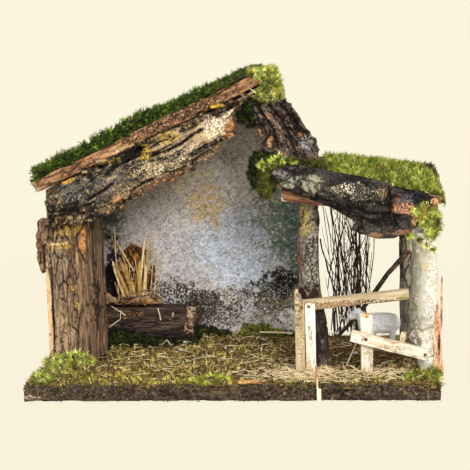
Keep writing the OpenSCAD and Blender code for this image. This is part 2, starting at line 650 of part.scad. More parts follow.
module rear_post() {
    color("#5d5347") difference() {
        trunk(rear_x, rear_y, rear_r, rear_lean_share, rear_girth_share, bark_rough, 8, under_shed, 10, 12);
        screw_holes();
    }
}
branch_r = 2.4;             // radius of the leaning branch at its upper end
branch_h = 104;             // height of its upper end above the board
branch_bend_share = [0, 0.03, 0.01, -0.02, 0];
branch_foot = [mid_x + 0.18 * (rear_x - mid_x), back_y - bare_strip + branch_r * 0.7, deck_z];
module leaning_branch() {
    head = [rear_x, rear_y - rear_r - branch_r - fit_gap, deck_z + branch_h];
    places = [for (i = [0:4]) blend(branch_foot, head, i / 4) + [branch_h * branch_bend_share[i], 0, 0]];
    color("#3c3029") stick(places, branch_r * 0.6, branch_r, 6);
}

// Twig screen: three rows of upright twigs, one behind another, none crossing within its row
screen_w = 66;              // width of the twig screen at its head
screen_left = wall_right + 2 * twig_r;
twig_foot_share = [[0.4, 0.76], [0.3, 0.7], [0.15, 0.66]];
twig_head_share = [[0.32, 0.84], [0.02, 0.54], [0.42, 1]];
twig_bend_share = [0.05, -0.07, 0.06];
twig_height_share = [0.97, 0.86, 1, 0.9, 0.78, 0.95, 0.84, 1, 0.72, 0.92];
module twig_screen() {
    steps = 5;
    color("#33261f") for (row = [0:2], i = [0:twig_count - 1]) {
        u = i / (twig_count - 1);
        y = back_y - bare_strip + (3 + 2.3 * row) * twig_r;
        foot = screen_left + screen_w * blend(twig_foot_share[row][0], twig_foot_share[row][1], u);
        head = screen_left + screen_w * blend(twig_head_share[row][0], twig_head_share[row][1], u);
        rise = (under_shed(head, y) - deck_z) * twig_height_share[(i * 3 + row) % 10];
        stick([for (s = [0:steps])
            let (t = s / steps)
            [blend(foot, head, t) + screen_w * twig_bend_share[row] * sin(180 * t), y, deck_z + rise * t]],
            twig_r, twig_r * 0.55, 4);
    }
}

// Fence of split slats
slat_span = 45;             // from the middle post's axis to the middle slat
middle_slat_x = mid_x + slat_span;
middle_slat_w = 13;         // width of the middle slat
rail_rise = 5.8;            // how steeply the upper rail climbs
rail_fall = 13;             // how steeply the lower rail falls
rail_yaw = atan((fit_gap + 0.97 * right_r - right_y + fence_front) / (right_x - middle_slat_x));
lower_rail_z = 55.2;        // height of the lower rail's middle at the middle slat
lower_overhang = 9;         // how far it reaches left of the middle slat
lower_end = 4;              // how far it reaches right of the right post's axis
lower_rail_l = lower_overhang + right_x - middle_slat_x + lower_end;
fence_brad_l = 12;          // length of a fence brad
module upright(x, w, front, outline_share) {
    translate([x, front + slat_t, deck_z]) rotate([90, 0, 0]) linear_extrude(height = slat_t)
        polygon([for (p = outline_share) [p[0] * w, p[1] * fence_h]]);
}
module on_lower_rail() {
    translate([middle_slat_x, fence_front - fit_gap, lower_rail_z]) rotate([0, 0, -rail_yaw]) children();
}
function upper_rail_mid(x) = upper_rail_z + tan(rail_rise) * (x - fence_left);
module at_fence_brads() {
    for (x = [fence_left + slat_w * 0.7, fence_left + slat_w * 1.4])
        translate([x, fence_front, upper_rail_mid(x)]) rotate([90, 0, 0]) children();
    on_lower_rail() for (along = [middle_slat_w * 0.5, right_x - middle_slat_x])
        translate([along, -rail_t, -tan(rail_fall) * along]) rotate([90, 0, 0]) children();
}
module fence_post_tall() {
    color("#c9b48c") difference() {
        upright(fence_left, slat_w, fence_front,
                [[0, 0], [1, 0], [1, 0.85], [0.52, 0.87], [0.4, 1], [0, 0.98]]);
        at_fence_brads() brad_hole(fence_brad_l);
    }
}
module fence_post_front() {
    color("#efe6d2") difference() {
        upright(fence_left + slat_w + fit_gap, slat_w, fence_front,
                [[0, 0], [1, 0], [1, 0.83], [0.6, 0.85], [0, 0.84]]);
        at_fence_brads() brad_hole(fence_brad_l);
    }
}
module fence_post_middle() {
    color("#e9dcbf") difference() {
        upright(middle_slat_x, middle_slat_w, fence_front,
                [[0, 0], [1, 0], [1, 0.71], [0.1, 0.73], [0, 0.72]]);
        at_fence_brads() brad_hole(fence_brad_l, false);
    }
}
module fence_upper_rail() {
    reach = (right_x - right_r - 3 * fit_gap - fence_left) / cos(rail_rise);
    color("#c2a673") difference() {
        translate([fence_left, rail_front, upper_rail_z]) rotate([0, -rail_rise, 0])
            translate([0, 0, -rail_w / 2]) rotate([90, 0, 90]) linear_extrude(height = reach)
                polygon([for (p = [[0, 0.12], [0.25, 0], [1, 0], [1, 1], [0.3, 1], [0, 0.85]])
                    [p[0] * rail_t, p[1] * rail_w]]);
        at_fence_brads() brad_hole(fence_brad_l, false);
    }
}
module fence_lower_rail() {
    color("#e4d3ab") difference() {
        on_lower_rail() rotate([0, rail_fall, 0])
            translate([-lower_overhang, -rail_t, -rail_w / 2]) cube([lower_rail_l, rail_t, rail_w]);
        at_fence_brads() brad_hole(fence_brad_l);
    }
}
stub_h = 20;                // height of the short offcut behind the lower rail
stub_lean = 12;             // how far it leans to the right
stub_gap = 4;               // from its top to the right post
module fence_stub_slat() {
    reach = stub_gap + right_r + slat_w * 0.55 + stub_h * sin(stub_lean);
    along = right_x - middle_slat_x - reach;
    color("#dcc48f") on_lower_rail() translate([along, fit_gap, -tan(rail_fall) * along - stub_h * 0.25])
        rotate([0, stub_lean, 0]) cube([slat_w * 0.55, slat_t * 0.8, stub_h]);
}
peg_shift = 1;              // from the middle post's axis to the peg on the board's front edge
peg_x = mid_x + peg_shift;
peg_w = 4.6;                // width of its block
peg_h = 13;                 // height of its block
stalk_h = 27;               // length of the stalk that rises out of the block
stalk_lean = 3;             // how far the stalk leans to the left
module front_edge_peg() {
    color("#e3c58e") translate([peg_x, front_y - fit_gap - peg_w * 0.6, base_t - peg_h * 0.85]) {
        cube([peg_w, peg_w * 0.6, peg_h]);
        translate([0, peg_w * 0.1, peg_h - stalk_h * 0.1]) rotate([0, -stalk_lean, 0])
            cube([peg_w * 0.45, peg_w * 0.4, stalk_h]);
    }
}

// Manger corner: a log at the wall's foot, a rack of bark on it and reeds as hay
manger_left = trunk_left + side_slab_t + plate_t;
manger_y = room_back - log_d / 2;
log_r = log_d / 2;
log_top_z = deck_z + log_d * 0.97;   // flat that is hewn along the log's top
module manger_log() {
    steps = 12;
    sides = 14;
    fray_share = [[0, 0], [0.9, 0], [0.97, 0.6], [1, 1]];
    color("#4d3528") loft([for (i = [0:steps])
        let (t = i / steps, slim = 1 - 0.12 * lookup(t, fray_share))
        [for (k = [0:sides - 1])
            let (a = -90 - 360 * k / sides, sink = k == 0 ? 0 : bark_relief * (1 + ripple(k, i, 4)) / 2)
            let (r = log_r * slim - sink, fray = log_r * 0.2 * lookup(t, fray_share) * ripple(k, i, 2))
            let (hewn = abs(k - sides / 2) <= 1)
            [manger_left + (log_l - log_r * 0.1) * t + fray, manger_y + (hewn ? log_r : r) * cos(a),
             hewn ? deck_z + (log_top_z - deck_z) * slim : deck_z + log_r + r * sin(a)]]]);
}
rack_shift = 41;            // from the log's left end to the hay rack's
rack_x = manger_left + rack_shift;
rack_w = 52;                // width of the hay rack
rack_h = 21;                // height of its bark front
rack_back_h = 70;           // height of the bark flake behind the reeds
module hay_rack_bark() {
    low = function(x) log_top_z + fit_gap;
    high = function(x) low(x) + rack_h * (0.72 + 0.28 * (x - rack_x) / rack_w);
    color("#8b5a34") half_log(rack_x, rack_w, manger_y - log_r * 0.18, rack_h * 0.7, low, high, 3, 9, 6);
}
module hay_rack_back() {
    flake_t = plate_t * 0.6;
    flake_w = rack_w * 0.54;
    steps = 6;
    tip_share = [0.9, 1, 0.93, 0.86];
    color("#7b4228") loft([for (i = [0:steps])
        [for (k = [0:7])
            let (front = k < 4, u = front ? 1 - k / 3 : (k - 4) / 3, tip = tip_share[front ? 3 - k : k - 4])
            [rack_x + rack_w * 0.12 + flake_w * u,
             room_back - (front ? flake_t * (0.8 + 0.2 * ripple(i, k, 3)) : 0),
             log_top_z + rack_back_h * tip * i / steps]]]);
}
reed_r = 1.5;               // radius of a reed
reed_height_share = [1, 0.62, 0.8, 0.55, 0.45, 0.5, 0.6, 0.42, 0.52, 0.66, 0.58, 0.78, 0.86, 0.7, 0.64];
module hay_reeds() {
    color("#d2ac55") for (i = [0:reed_count - 1]) {
        u = i / (reed_count - 1) - 0.5;
        row = i % 3;
        foot = [rack_x + rack_w * (0.5 + 0.62 * u), manger_y + log_r * 0.18 * row, log_top_z + fit_gap];
        rise = reed_l * reed_height_share[i % 15];
        lean = rack_w * 0.42 * u * (rise / reed_l + 0.3);
        stick([for (s = [0:3]) foot + [lean * s / 3, 0, rise * s / 3]], reed_r, reed_r * 0.7, 5);
    }
}

// Loose things on the ground, each resting on the carpet's highest place under it
function rest_z(from, to) =
    max([for (s = [0:12]) let (p = blend(from, to, s / 12)) ground_z(p[0], p[1])]) + fit_gap;
straw_r = 0.5;              // radius of a straw
straw_l = 21;               // length of a straw
straw_fields_share = [[0.63, 0.06, 0.06, 0.046, 6, 3], [0.28, 0.2, 0.075, 0.12, 5, 3]];
module straw(from, to) {
    lift = [0, 0, rest_z(from, to) + straw_r];
    lying_stick([from[0], from[1], 0] + lift, [to[0], to[1], 0] + lift, straw_r);
}
module straw_litter() {
    color("#d8bd76") {
        for (f = straw_fields_share, i = [0:f[4] - 1], j = [0:f[5] - 1]) {
            middle = [left_x + base_w * (f[0] + f[2] * i), front_y + base_d * (f[1] + f[3] * j)];
            angle = 24 * ripple(i, j, f[4]);
            half = straw_l / 2 * (0.85 + 0.15 * ripple(j, i, 5)) * [cos(angle), sin(angle)];
            straw(middle - half, middle + half);
        }
        straw([left_x + base_w * 0.543, room_back - log_r * 0.2],
              [left_x + base_w * 0.62, room_back - log_r * 0.12]);
    }
}
pebble_d = 6;               // size of the largest pebble
pebble_share = [[0.343, 0.725, 0.9], [0.36, 0.73, 0.7], [0.7, 0.42, 0.8], [0.6, 0.28, 0.6], [0.8, 0.5, 1],
                [0.46, 0.62, 0.7], [0.25, 0.5, 0.8]];
module pebbles() {
    color("#d9d6cc") for (p = pebble_share) {
        d = pebble_d * p[2];
        x = left_x + base_w * p[0];
        y = front_y + base_d * p[1];
        z = max(rest_z([x - d / 4, y], [x + d / 4, y]), rest_z([x, y - d / 4], [x, y + d / 4]));
        translate([x, y, z + d * 0.35]) moss_tuft([d, d * 0.8, d * 0.7], 0.2, p[0] * 9, 4, 7);
    }
}
leaf_l = 24;                // length of the largest leaf
leaf_t = 0.6;               // thickness of a leaf
leaf_share = [[0.55, 0.044, 1, 20], [0.505, 1, 0.6, 160], [0.36, 0.31, 0.5, 70]];
leaf_width_share = [[0, 0.06], [0.3, 0.4], [0.6, 0.44], [1, 0.05]];
module dry_leaves() {
    color("#b9793a") for (f = leaf_share) {
        size = leaf_l * f[2];
        x = left_x + base_w * f[0];
        y = front_y + leaf_l * 0.2 + (room_back - front_y - leaf_l * 0.4) * f[1];
        z = max([for (a = [0:60:180])
            let (half = size / 2 * [cos(a), sin(a)]) rest_z([x, y] - half, [x, y] + half)]);
        translate([x, y, z]) rotate([0, 0, f[3]]) loft([for (i = [0:5])
            let (t = i / 5, w = size * lookup(t, leaf_width_share) / 2, curl = leaf_t * 2 * pow(2 * t - 1, 2))
            [[size * (t - 0.5), -w, curl + leaf_t], [size * (t - 0.5), 0, curl + leaf_t * 0.8],
             [size * (t - 0.5), w, curl + leaf_t], [size * (t - 0.5), 0, curl]]]);
    }
}

// Sheep figurine: body, neck, head, ears and four legs in one casting
sheep_reach = 79;           // from its nose to the right post's axis
sheep_x = right_x - sheep_reach;
sheep_y = 20;               // its middle line
hoof_r = 2.4;               // radius of a hoof
hoof_apart = 6.5;           // from its middle line to a hoof
hoof_share = [0.38, 0.86];
// Rings of each run: place along it, height, half width and half height
body_share = [[0.2, 0.66, 0.06, 0.08], [0.3, 0.64, 0.16, 0.17], [0.5, 0.63, 0.2, 0.2],
              [0.75, 0.63, 0.21, 0.205], [0.92, 0.63, 0.18, 0.18], [1, 0.62, 0.07, 0.08]];
neck_share = [[0.14, 0.82, 0.08, 0.08], [0.22, 0.78, 0.12, 0.13], [0.36, 0.66, 0.14, 0.15]];
head_share = [[0, 0.75, 0.045, 0.04], [0.07, 0.77, 0.075, 0.075], [0.17, 0.82, 0.1, 0.1],
              [0.25, 0.85, 0.07, 0.08]];
module rounded_run(rows_share, sides = 12) {
    loft([for (r = rows_share)
        [for (k = [0:sides - 1])
            let (a = -360 * k / sides)
            [sheep_x + sheep_l * r[0], sheep_y + sheep_l * r[2] * cos(a),
             deck_z + sheep_l * (r[1] + r[3] * sin(a))]]]);
}
module sheep_figurine() {
    color("#c9ccd6") {
        rounded_run(body_share);
        rounded_run(neck_share);
        rounded_run(head_share);
        for (side = [-1, 1], along = hoof_share)
            stick([for (h = [0, 0.3, 0.56])
                [sheep_x + along * sheep_l, sheep_y + side * hoof_apart, deck_z + h * sheep_l]],
                hoof_r, hoof_r * 1.4, 8);
        for (side = [-1, 1])
            stick([for (h = [0.8, 0.86])
                [sheep_x + sheep_l * 0.2, sheep_y + side * sheep_l * (h - 0.7), deck_z + h * sheep_l]],
                hoof_r * 0.9, hoof_r * 0.4, 6);
    }
}

// Fasteners
module post_screws() {
    tip = screw_r * 2;
    color("#9a9a98") at_screws() {
        cylinder(r1 = screw_head_r, r2 = screw_r, h = screw_head_t, $fn = 24);
        translate([0, 0, screw_head_t]) cylinder(r = screw_r, h = screw_l - screw_head_t - tip, $fn = 24);
        translate([0, 0, screw_l - tip]) cylinder(r1 = screw_r, r2 = screw_r * 0.2, h = tip, $fn = 24);
    }
}
module wall_brads() {
    color("#9a9a98") at_wall_brads() brad(wall_brad_l);
}
module roof_brads() {
    color("#9a9a98") at_roof_brads() brad(roof_brad_l);
}
module fence_brads() {
    color("#9a9a98") at_fence_brads() brad(fence_brad_l);
}

base_board();
ground_moss();
rear_wall_panel();
wall_plaster();
left_post_trunk();
left_post_bark_plate();
left_post_bark_upper();
left_post_bark_curl();
left_side_bark_slab();
main_roof_board();
main_roof_moss();
main_roof_bark_fascia();
gable_bark_slab();
ridge_moss_cap();
gable_moss_clump();
shed_roof_board();
shed_roof_moss();
shed_front_half_log();
shed_rafter_pole();
shed_moss_tuft_left();
shed_moss_tuft_right();
middle_birch_post();
right_birch_post();
right_post_peeled_bark();
rear_post();
leaning_branch();
twig_screen();
fence_post_tall();
fence_post_front();
fence_post_middle();
fence_upper_rail();
fence_lower_rail();
fence_stub_slat();
front_edge_peg();
manger_log();
hay_rack_bark();
hay_rack_back();
hay_reeds();
straw_litter();
pebbles();
dry_leaves();
sheep_figurine();
post_screws();
wall_brads();
roof_brads();
fence_brads();
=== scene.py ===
import math
import random

import bmesh
import bpy
from mathutils import Matrix, Vector


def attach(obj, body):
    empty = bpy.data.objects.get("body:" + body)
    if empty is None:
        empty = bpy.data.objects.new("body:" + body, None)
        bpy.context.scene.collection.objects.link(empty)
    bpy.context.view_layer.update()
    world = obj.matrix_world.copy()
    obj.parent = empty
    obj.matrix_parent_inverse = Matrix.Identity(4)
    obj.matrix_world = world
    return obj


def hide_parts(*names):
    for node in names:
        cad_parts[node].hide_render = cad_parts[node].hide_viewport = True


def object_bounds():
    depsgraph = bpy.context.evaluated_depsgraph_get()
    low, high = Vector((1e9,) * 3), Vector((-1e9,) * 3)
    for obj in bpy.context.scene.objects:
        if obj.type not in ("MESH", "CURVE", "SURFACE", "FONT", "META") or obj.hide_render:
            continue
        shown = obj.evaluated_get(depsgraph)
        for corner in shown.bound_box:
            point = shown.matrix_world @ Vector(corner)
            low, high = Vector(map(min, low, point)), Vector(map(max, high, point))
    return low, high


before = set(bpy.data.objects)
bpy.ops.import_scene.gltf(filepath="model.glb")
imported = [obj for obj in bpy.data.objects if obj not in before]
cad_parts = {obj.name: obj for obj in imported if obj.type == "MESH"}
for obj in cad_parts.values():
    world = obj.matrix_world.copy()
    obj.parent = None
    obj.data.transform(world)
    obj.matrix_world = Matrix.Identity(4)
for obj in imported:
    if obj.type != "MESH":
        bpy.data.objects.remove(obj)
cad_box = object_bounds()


# The photographer stands a good metre in front of the stable, a little to the
# right of its middle and above its roof, and looks slightly down. The lens is long.
MM = 0.001
FRAME_PX = 470
FOCAL_PX = 1300
SENSOR = 36
CAMERA_AT = (119.6, -1371.3, 360.8)
YAW_PITCH_ROLL = (-5.01, -8.71, -1.52)

yaw, pitch, roll = (math.radians(a) for a in YAW_PITCH_ROLL)
ahead = Vector((math.sin(yaw) * math.cos(pitch), math.cos(yaw) * math.cos(pitch), math.sin(pitch)))
level = Vector((math.cos(yaw), -math.sin(yaw), 0))
upward = level.cross(ahead)
side = level * math.cos(roll) + upward * math.sin(roll)
over = upward * math.cos(roll) - level * math.sin(roll)
camera = bpy.data.objects.new("camera", bpy.data.cameras.new("camera"))
camera.data.sensor_width = SENSOR
camera.data.lens = SENSOR * FOCAL_PX / FRAME_PX
turned = Matrix((side, over, -ahead)).transposed().to_4x4()
camera.matrix_world = Matrix.Translation(Vector(CAMERA_AT) * MM) @ turned
bpy.context.collection.objects.link(camera)
bpy.context.scene.camera = camera


# The light is a plain bright studio: one broad lamp at the front right, weaker ones
# at the left and above, and an even pale surround. The backdrop is a warm cream
# sheet that curves up from the floor.
CREAM = (250, 242, 219)
SURROUND = 0.42
SHEET_ENDS = (-2.4, 2.6)
SHEET_FRONT = -2.4
CURVE_FROM = 1.0
CURVE_RADIUS = 0.7
SHEET_TOP = 2.6
UNDER_BOARD = 0.0004


def tone(red, green, blue):
    """A colour as the eye sees it, 0 to 255, turned into the shader's own values."""
    parts = [c / 255 for c in (red, green, blue)]
    parts = [c / 12.92 if c <= 0.04045 else ((c + 0.055) / 1.055) ** 2.4 for c in parts]
    return (*parts, 1)


def fill(tree, socket, value):
    """Links a socket or gives it its value. A colour is written as red, green and blue."""
    if isinstance(value, bpy.types.NodeSocket):
        tree.links.new(value, socket)
    else:
        socket.default_value = tone(*value) if socket.type == "RGBA" else value


def wire(tree, kind, inputs=None, **settings):
    """Adds a node, sets its options, and fills or links its inputs."""
    made = tree.nodes.new(kind)
    for key, value in settings.items():
        setattr(made, key, value)
    for key, value in (inputs or {}).items():
        fill(tree, made.inputs[key], value)
    return made


def times(tree, first, second, how="MULTIPLY"):
    """Two values multiplied, or joined another way."""
    return wire(tree, "ShaderNodeMath", {0: first, 1: second}, operation=how).outputs[0]


def looked_at(tree):
    """1 for what the camera, a mirror or glass sees, 0 for the light on the object."""
    rays = wire(tree, "ShaderNodeLightPath").outputs
    mirrored = times(tree, rays["Is Glossy Ray"], rays["Is Transmission Ray"], "MAXIMUM")
    return times(tree, rays["Is Camera Ray"], mirrored, "MAXIMUM")


def made_of(shape, name, shown=True):
    """Turns a worked shape into an object, and puts it in the scene."""
    made = bpy.data.objects.new(name, bpy.data.meshes.new(name))
    shape.to_mesh(made.data)
    shape.free()
    if shown:
        bpy.context.collection.objects.link(made)
    return made


for name, strength, spread, towards, colour in (
        ("lamp_right", 2.35, 20, (-0.3, 0.9, -0.42), (255, 250, 240)),
        ("lamp_left", 0.6, 50, (0.6, 0.8, -0.22), (240, 246, 255)),
        ("lamp_top", 0.7, 60, (0.05, 0.35, -0.95), (255, 252, 246))):
    data = bpy.data.lights.new(name, "SUN")
    data.energy = strength
    data.angle = math.radians(spread)
    data.color = tone(*colour)[:3]
    holder = bpy.data.objects.new(name, data)
    holder.rotation_euler = Vector(towards).to_track_quat("-Z", "Y").to_euler()
    bpy.context.collection.objects.link(holder)

world = bpy.data.worlds.new("studio")
world.use_nodes = True
bpy.context.scene.world = world
sky = world.node_tree
even = sky.nodes["Background"]
fill(sky, even.inputs["Color"], (250, 248, 244))
fill(sky, even.inputs["Strength"], SURROUND)
seen = wire(sky, "ShaderNodeBackground", {"Color": CREAM, "Strength": 1})
pick = wire(sky, "ShaderNodeMixShader", {0: looked_at(sky), 1: even.outputs[0], 2: seen.outputs[0]})
sky.links.new(pick.outputs[0], sky.nodes["World Output"].inputs[0])
bpy.context.scene.view_settings.view_transform = "Standard"

shape = bmesh.new()
profile = [(SHEET_FRONT, 0), (CURVE_FROM, 0)]
for a in range(9, 91, 9):
    turned = math.radians(a)
    profile.append((CURVE_FROM + CURVE_RADIUS * math.sin(turned),
        CURVE_RADIUS - CURVE_RADIUS * math.cos(turned)))
profile.append((CURVE_FROM + CURVE_RADIUS, SHEET_TOP))
rows = [[shape.verts.new((x, y, z - UNDER_BOARD)) for y, z in profile] for x in SHEET_ENDS]
for n in range(len(profile) - 1):
    shape.faces.new((rows[0][n], rows[1][n], rows[1][n + 1], rows[0][n + 1]))
backdrop = made_of(shape, "backdrop_sheet")
for face in backdrop.data.polygons:
    face.use_smooth = True
paper = bpy.data.materials.new("cream_paper")
paper.use_nodes = True
tree = paper.node_tree
sheet = tree.nodes["Principled BSDF"]
fill(tree, sheet.inputs["Base Color"], CREAM)
fill(tree, sheet.inputs["Roughness"], 0.9)
glow = wire(tree, "ShaderNodeEmission", {"Color": CREAM, "Strength": 1})
pick = wire(tree, "ShaderNodeMixShader", {
    0: times(tree, looked_at(tree), 0.95), 1: sheet.outputs[0], 2: glow.outputs[0]})
tree.links.new(pick.outputs[0], tree.nodes["Material Output"].inputs[0])
backdrop.data.materials.append(paper)


# The base is a sawn softwood board, stained dark brown. Its front edge is rough
# and chipped, with pale splinters at the left corner and a worn right corner.
def finish_of(name, roughness):
    """Starts a material: itself, its tree, its object coordinates and its shader."""
    made = bpy.data.materials.new(name)
    made.use_nodes = True
    tree = made.node_tree
    shader = tree.nodes["Principled BSDF"]
    shader.inputs["Roughness"].default_value = roughness
    shader.inputs["Specular IOR Level"].default_value = 0.25
    return made, tree, wire(tree, "ShaderNodeTexCoord").outputs["Object"], shader


LEVEL = (0, 0, 0)


def mm(sizes):
    """Sizes given in mm, in the scene's metres."""
    return [s * MM for s in sizes]


def along(tree, coords, turn, cell):
    """Coordinates counted in cells, given in mm, whose first axis follows the grain."""
    return wire(tree, "ShaderNodeMapping", {"Vector": coords, "Rotation": [math.radians(a) for a in turn],
        "Scale": mm(cell)}, vector_type="TEXTURE").outputs[0]


def noise(tree, coords, scale, detail, rough=0.55, bend=0):
    """A cloudy value between 0 and 1."""
    return wire(tree, "ShaderNodeTexNoise", {"Vector": coords, "Scale": scale, "Detail": detail,
        "Roughness": rough, "Distortion": bend}).outputs[0]


def blend(tree, mask, under, paint):
    """One colour over another, by a mask."""
    made = wire(tree, "ShaderNodeMix", {0: mask, 6: under, 7: paint}, data_type="RGBA")
    return made.outputs[2]


def span(tree, value, low, high, bottom=0, top=1, how="LINEAR"):
    """A value stretched from one range to another."""
    return wire(tree, "ShaderNodeMapRange", {"Value": value, "From Min": low, "From Max": high,
        "To Min": bottom, "To Max": top}, interpolation_type=how).outputs[0]


def rise(tree, value, low, high, bottom=0, top=1):
    """The same, smooth at both ends."""
    return span(tree, value, low, high, bottom, top, "SMOOTHSTEP")


def vec(tree, how, first, second=None):
    """A sum with vectors. SCALE takes a vector and a value, LENGTH one vector."""
    given = {0: first}
    if second is not None:
        given["Scale" if how == "SCALE" else 1] = second
    made = wire(tree, "ShaderNodeVectorMath", given, operation=how)
    return made.outputs["Value" if how == "LENGTH" else 0]


def coat(tree, shader, shade, height, deep):
    """Gives a shader its colour and a fine roughness, given in mm."""
    bump = wire(tree, "ShaderNodeBump", {"Height": height, "Strength": 1, "Distance": deep * MM})
    tree.links.new(shade, shader.inputs["Base Color"])
    tree.links.new(bump.outputs[0], shader.inputs["Normal"])


def group_of(name, kind, takes, gives):
    """A node group with named inputs and outputs, and its two ends."""
    made = bpy.data.node_groups.new(name, kind)
    for label, (socket, value) in takes.items():
        new = made.interface.new_socket(label, in_out="INPUT", socket_type="NodeSocket" + socket)
        if value is not None:
            new.default_value = tone(*value) if socket == "Color" else value
    for label, socket in gives.items():
        made.interface.new_socket(label, in_out="OUTPUT", socket_type="NodeSocket" + socket)
    return made, made.nodes.new("NodeGroupInput").outputs, made.nodes.new("NodeGroupOutput").inputs


def mark(tree, shape, label, value, domain):
    """Writes a value on a shape, for its finish to read."""
    return wire(tree, "GeometryNodeStoreNamedAttribute", {0: shape, 2: label, 3: value},
                data_type="FLOAT", domain=domain).outputs[0]


def keep_inside(tree, shape, given):
    """Holds every place of a shape between the inputs Low and High."""
    place = wire(tree, "GeometryNodeInputPosition").outputs[0]
    inside = vec(tree, "MINIMUM", vec(tree, "MAXIMUM", place, given["Low"]), given["High"])
    return wire(tree, "GeometryNodeSetPosition", {"Geometry": shape, "Position": inside}).outputs[0]


# relief: an old rough surface with cracks, hollows and grit. A piece can swell a
# little and its cut ends can splinter. What each place is, is kept for the finish.
FURROW_WAVER = 0.005
SPLINTERS_PER_M = 330
relief, given, result = group_of("weathered_relief", "GeometryNodeTree",
    {"Geometry": ("Geometry", None), "Turn": ("Vector", (0, 0, 0)),
    "Cell": ("Vector", (0.02, 0.006, 0.006)), "Crack depth": ("Float", 0.002),
    "Crack width": ("Float", 0.12), "Lump depth": ("Float", 0.001), "Grit depth": ("Float", 0.0003),
    "Wobble": ("Float", 0.35), "Swell": ("Float", 0), "Splinter": ("Float", 0),
    "Low": ("Vector", (-1, -1, 0)), "High": ("Vector", (1, 1, 1)), "Furrows": ("Object", None),
    "Furrow width": ("Float", 0.0015), "Gouge": ("Float", 0.003), "Finish": ("Material", None)},
    {"Geometry": "Geometry"})
place = wire(relief, "GeometryNodeInputPosition").outputs[0]
facing = wire(relief, "GeometryNodeInputNormal").outputs[0]
spun = wire(relief, "ShaderNodeVectorRotate", {"Vector": place, "Rotation": given["Turn"]},
            rotation_type="EULER_XYZ", invert=True).outputs[0]
cells = vec(relief, "DIVIDE", spun, given["Cell"])
stir = wire(relief, "ShaderNodeTexNoise", {"Vector": cells, "Scale": 1.4, "Detail": 4,
    "Roughness": 0.6}).outputs[1]
stir = vec(relief, "SUBTRACT", stir, (0.5, 0.5, 0.5))
stir = vec(relief, "SCALE", stir, given["Wobble"])
bent = vec(relief, "ADD", cells, stir)
gap = wire(relief, "ShaderNodeTexVoronoi", {"Vector": bent, "Scale": 1},
    feature="DISTANCE_TO_EDGE").outputs[0]
crack = rise(relief, gap, 0, given["Crack width"], 1, 0)
crack = times(relief, crack, rise(relief, noise(relief, cells, 0.5, 2, 0.5), 0.4, 0.56))
lump = span(relief, noise(relief, cells, 0.7, 3, 0.5), 0.32, 0.68, 1, 0)
grit = noise(relief, bent, 5, 3, 0.7)
nose = wire(relief, "ShaderNodeVectorRotate", {"Vector": facing, "Rotation": given["Turn"]},
            rotation_type="EULER_XYZ", invert=True).outputs[0]
nose = times(relief, wire(relief, "ShaderNodeSeparateXYZ", {"Vector": nose}).outputs["X"], 0, "ABSOLUTE")
cut = span(relief, nose, 0.72, 0.9)
kept = span(relief, cut, 0, 1, 1, 0.25)
lines = wire(relief, "GeometryNodeObjectInfo", {"Object": given["Furrows"]}).outputs["Geometry"]
seen_at = vec(relief, "MULTIPLY", place, (1, 0, 1))
near = wire(relief, "GeometryNodeProximity", {0: lines, "Sample Position": seen_at}, target_element="EDGES")
waver = times(relief, times(relief, grit, 0.5, "SUBTRACT"), FURROW_WAVER)
away = times(relief, near.outputs["Distance"], waver, "ADD")
furrow = rise(relief, away, times(relief, given["Furrow width"], 0.4), given["Furrow width"], 1, 0)
front = wire(relief, "ShaderNodeSeparateXYZ", {"Vector": facing}).outputs["Y"]
furrow = times(relief, furrow, span(relief, front, 0, 0.3, 1, 0))
furrow = times(relief, furrow, near.outputs["Is Valid"])
sunk = times(relief, times(relief, crack, given["Crack depth"]), kept)
sunk = times(relief, sunk, times(relief, furrow, given["Gouge"]), "ADD")
crack = times(relief, crack, furrow, "MAXIMUM")
sunk = times(relief, sunk, times(relief, lump, given["Lump depth"]), "ADD")
sunk = times(relief, sunk, times(relief, grit, given["Grit depth"]), "ADD")
sunk = times(relief, sunk, given["Swell"], "SUBTRACT")
thin = vec(relief, "MULTIPLY", spun, (0, SPLINTERS_PER_M, SPLINTERS_PER_M))
fringe = span(relief, noise(relief, thin, 1, 2, 0.6), 0.35, 0.65)
sunk = times(relief, sunk, times(relief, times(relief, fringe, cut), given["Splinter"]), "ADD")
step = vec(relief, "SCALE", facing, times(relief, sunk, -1))
shaped = wire(relief, "GeometryNodeSetPosition", {"Geometry": given[0], "Offset": step}).outputs[0]
for label, value in (("crack", crack), ("lump", lump), ("grit", grit), ("cut", cut)):
    shaped = mark(relief, shaped, label, value, "POINT")
shaped = keep_inside(relief, shaped, given)
shaped = wire(relief, "GeometryNodeSetShadeSmooth", {"Geometry": shaped}).outputs[0]
shaped = wire(relief, "GeometryNodeRealizeInstances", {"Geometry": shaped}).outputs[0]
shaped = wire(relief, "GeometryNodeSetMaterial",
    {"Geometry": shaped, "Material": given["Finish"]}).outputs[0]
relief.links.new(shaped, result[0])


SAME_PLACE = 0.002 * MM


def copy_of(name, *nodes):
    """A new piece with the shape of its CAD nodes, if any, their loose triangles joined."""
    shape = bmesh.new()
    for node in nodes:
        shape.from_mesh(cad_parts[node].data)
    bmesh.ops.remove_doubles(shape, verts=shape.verts, dist=SAME_PLACE)
    return made_of(shape, name)


def skin_over(piece, voxel):
    """Joins all that a piece is made of under one skin, with its mesh size in mm."""
    skin = piece.modifiers.new("skin", "REMESH")
    skin.mode = "VOXEL"
    skin.voxel_size = voxel * MM


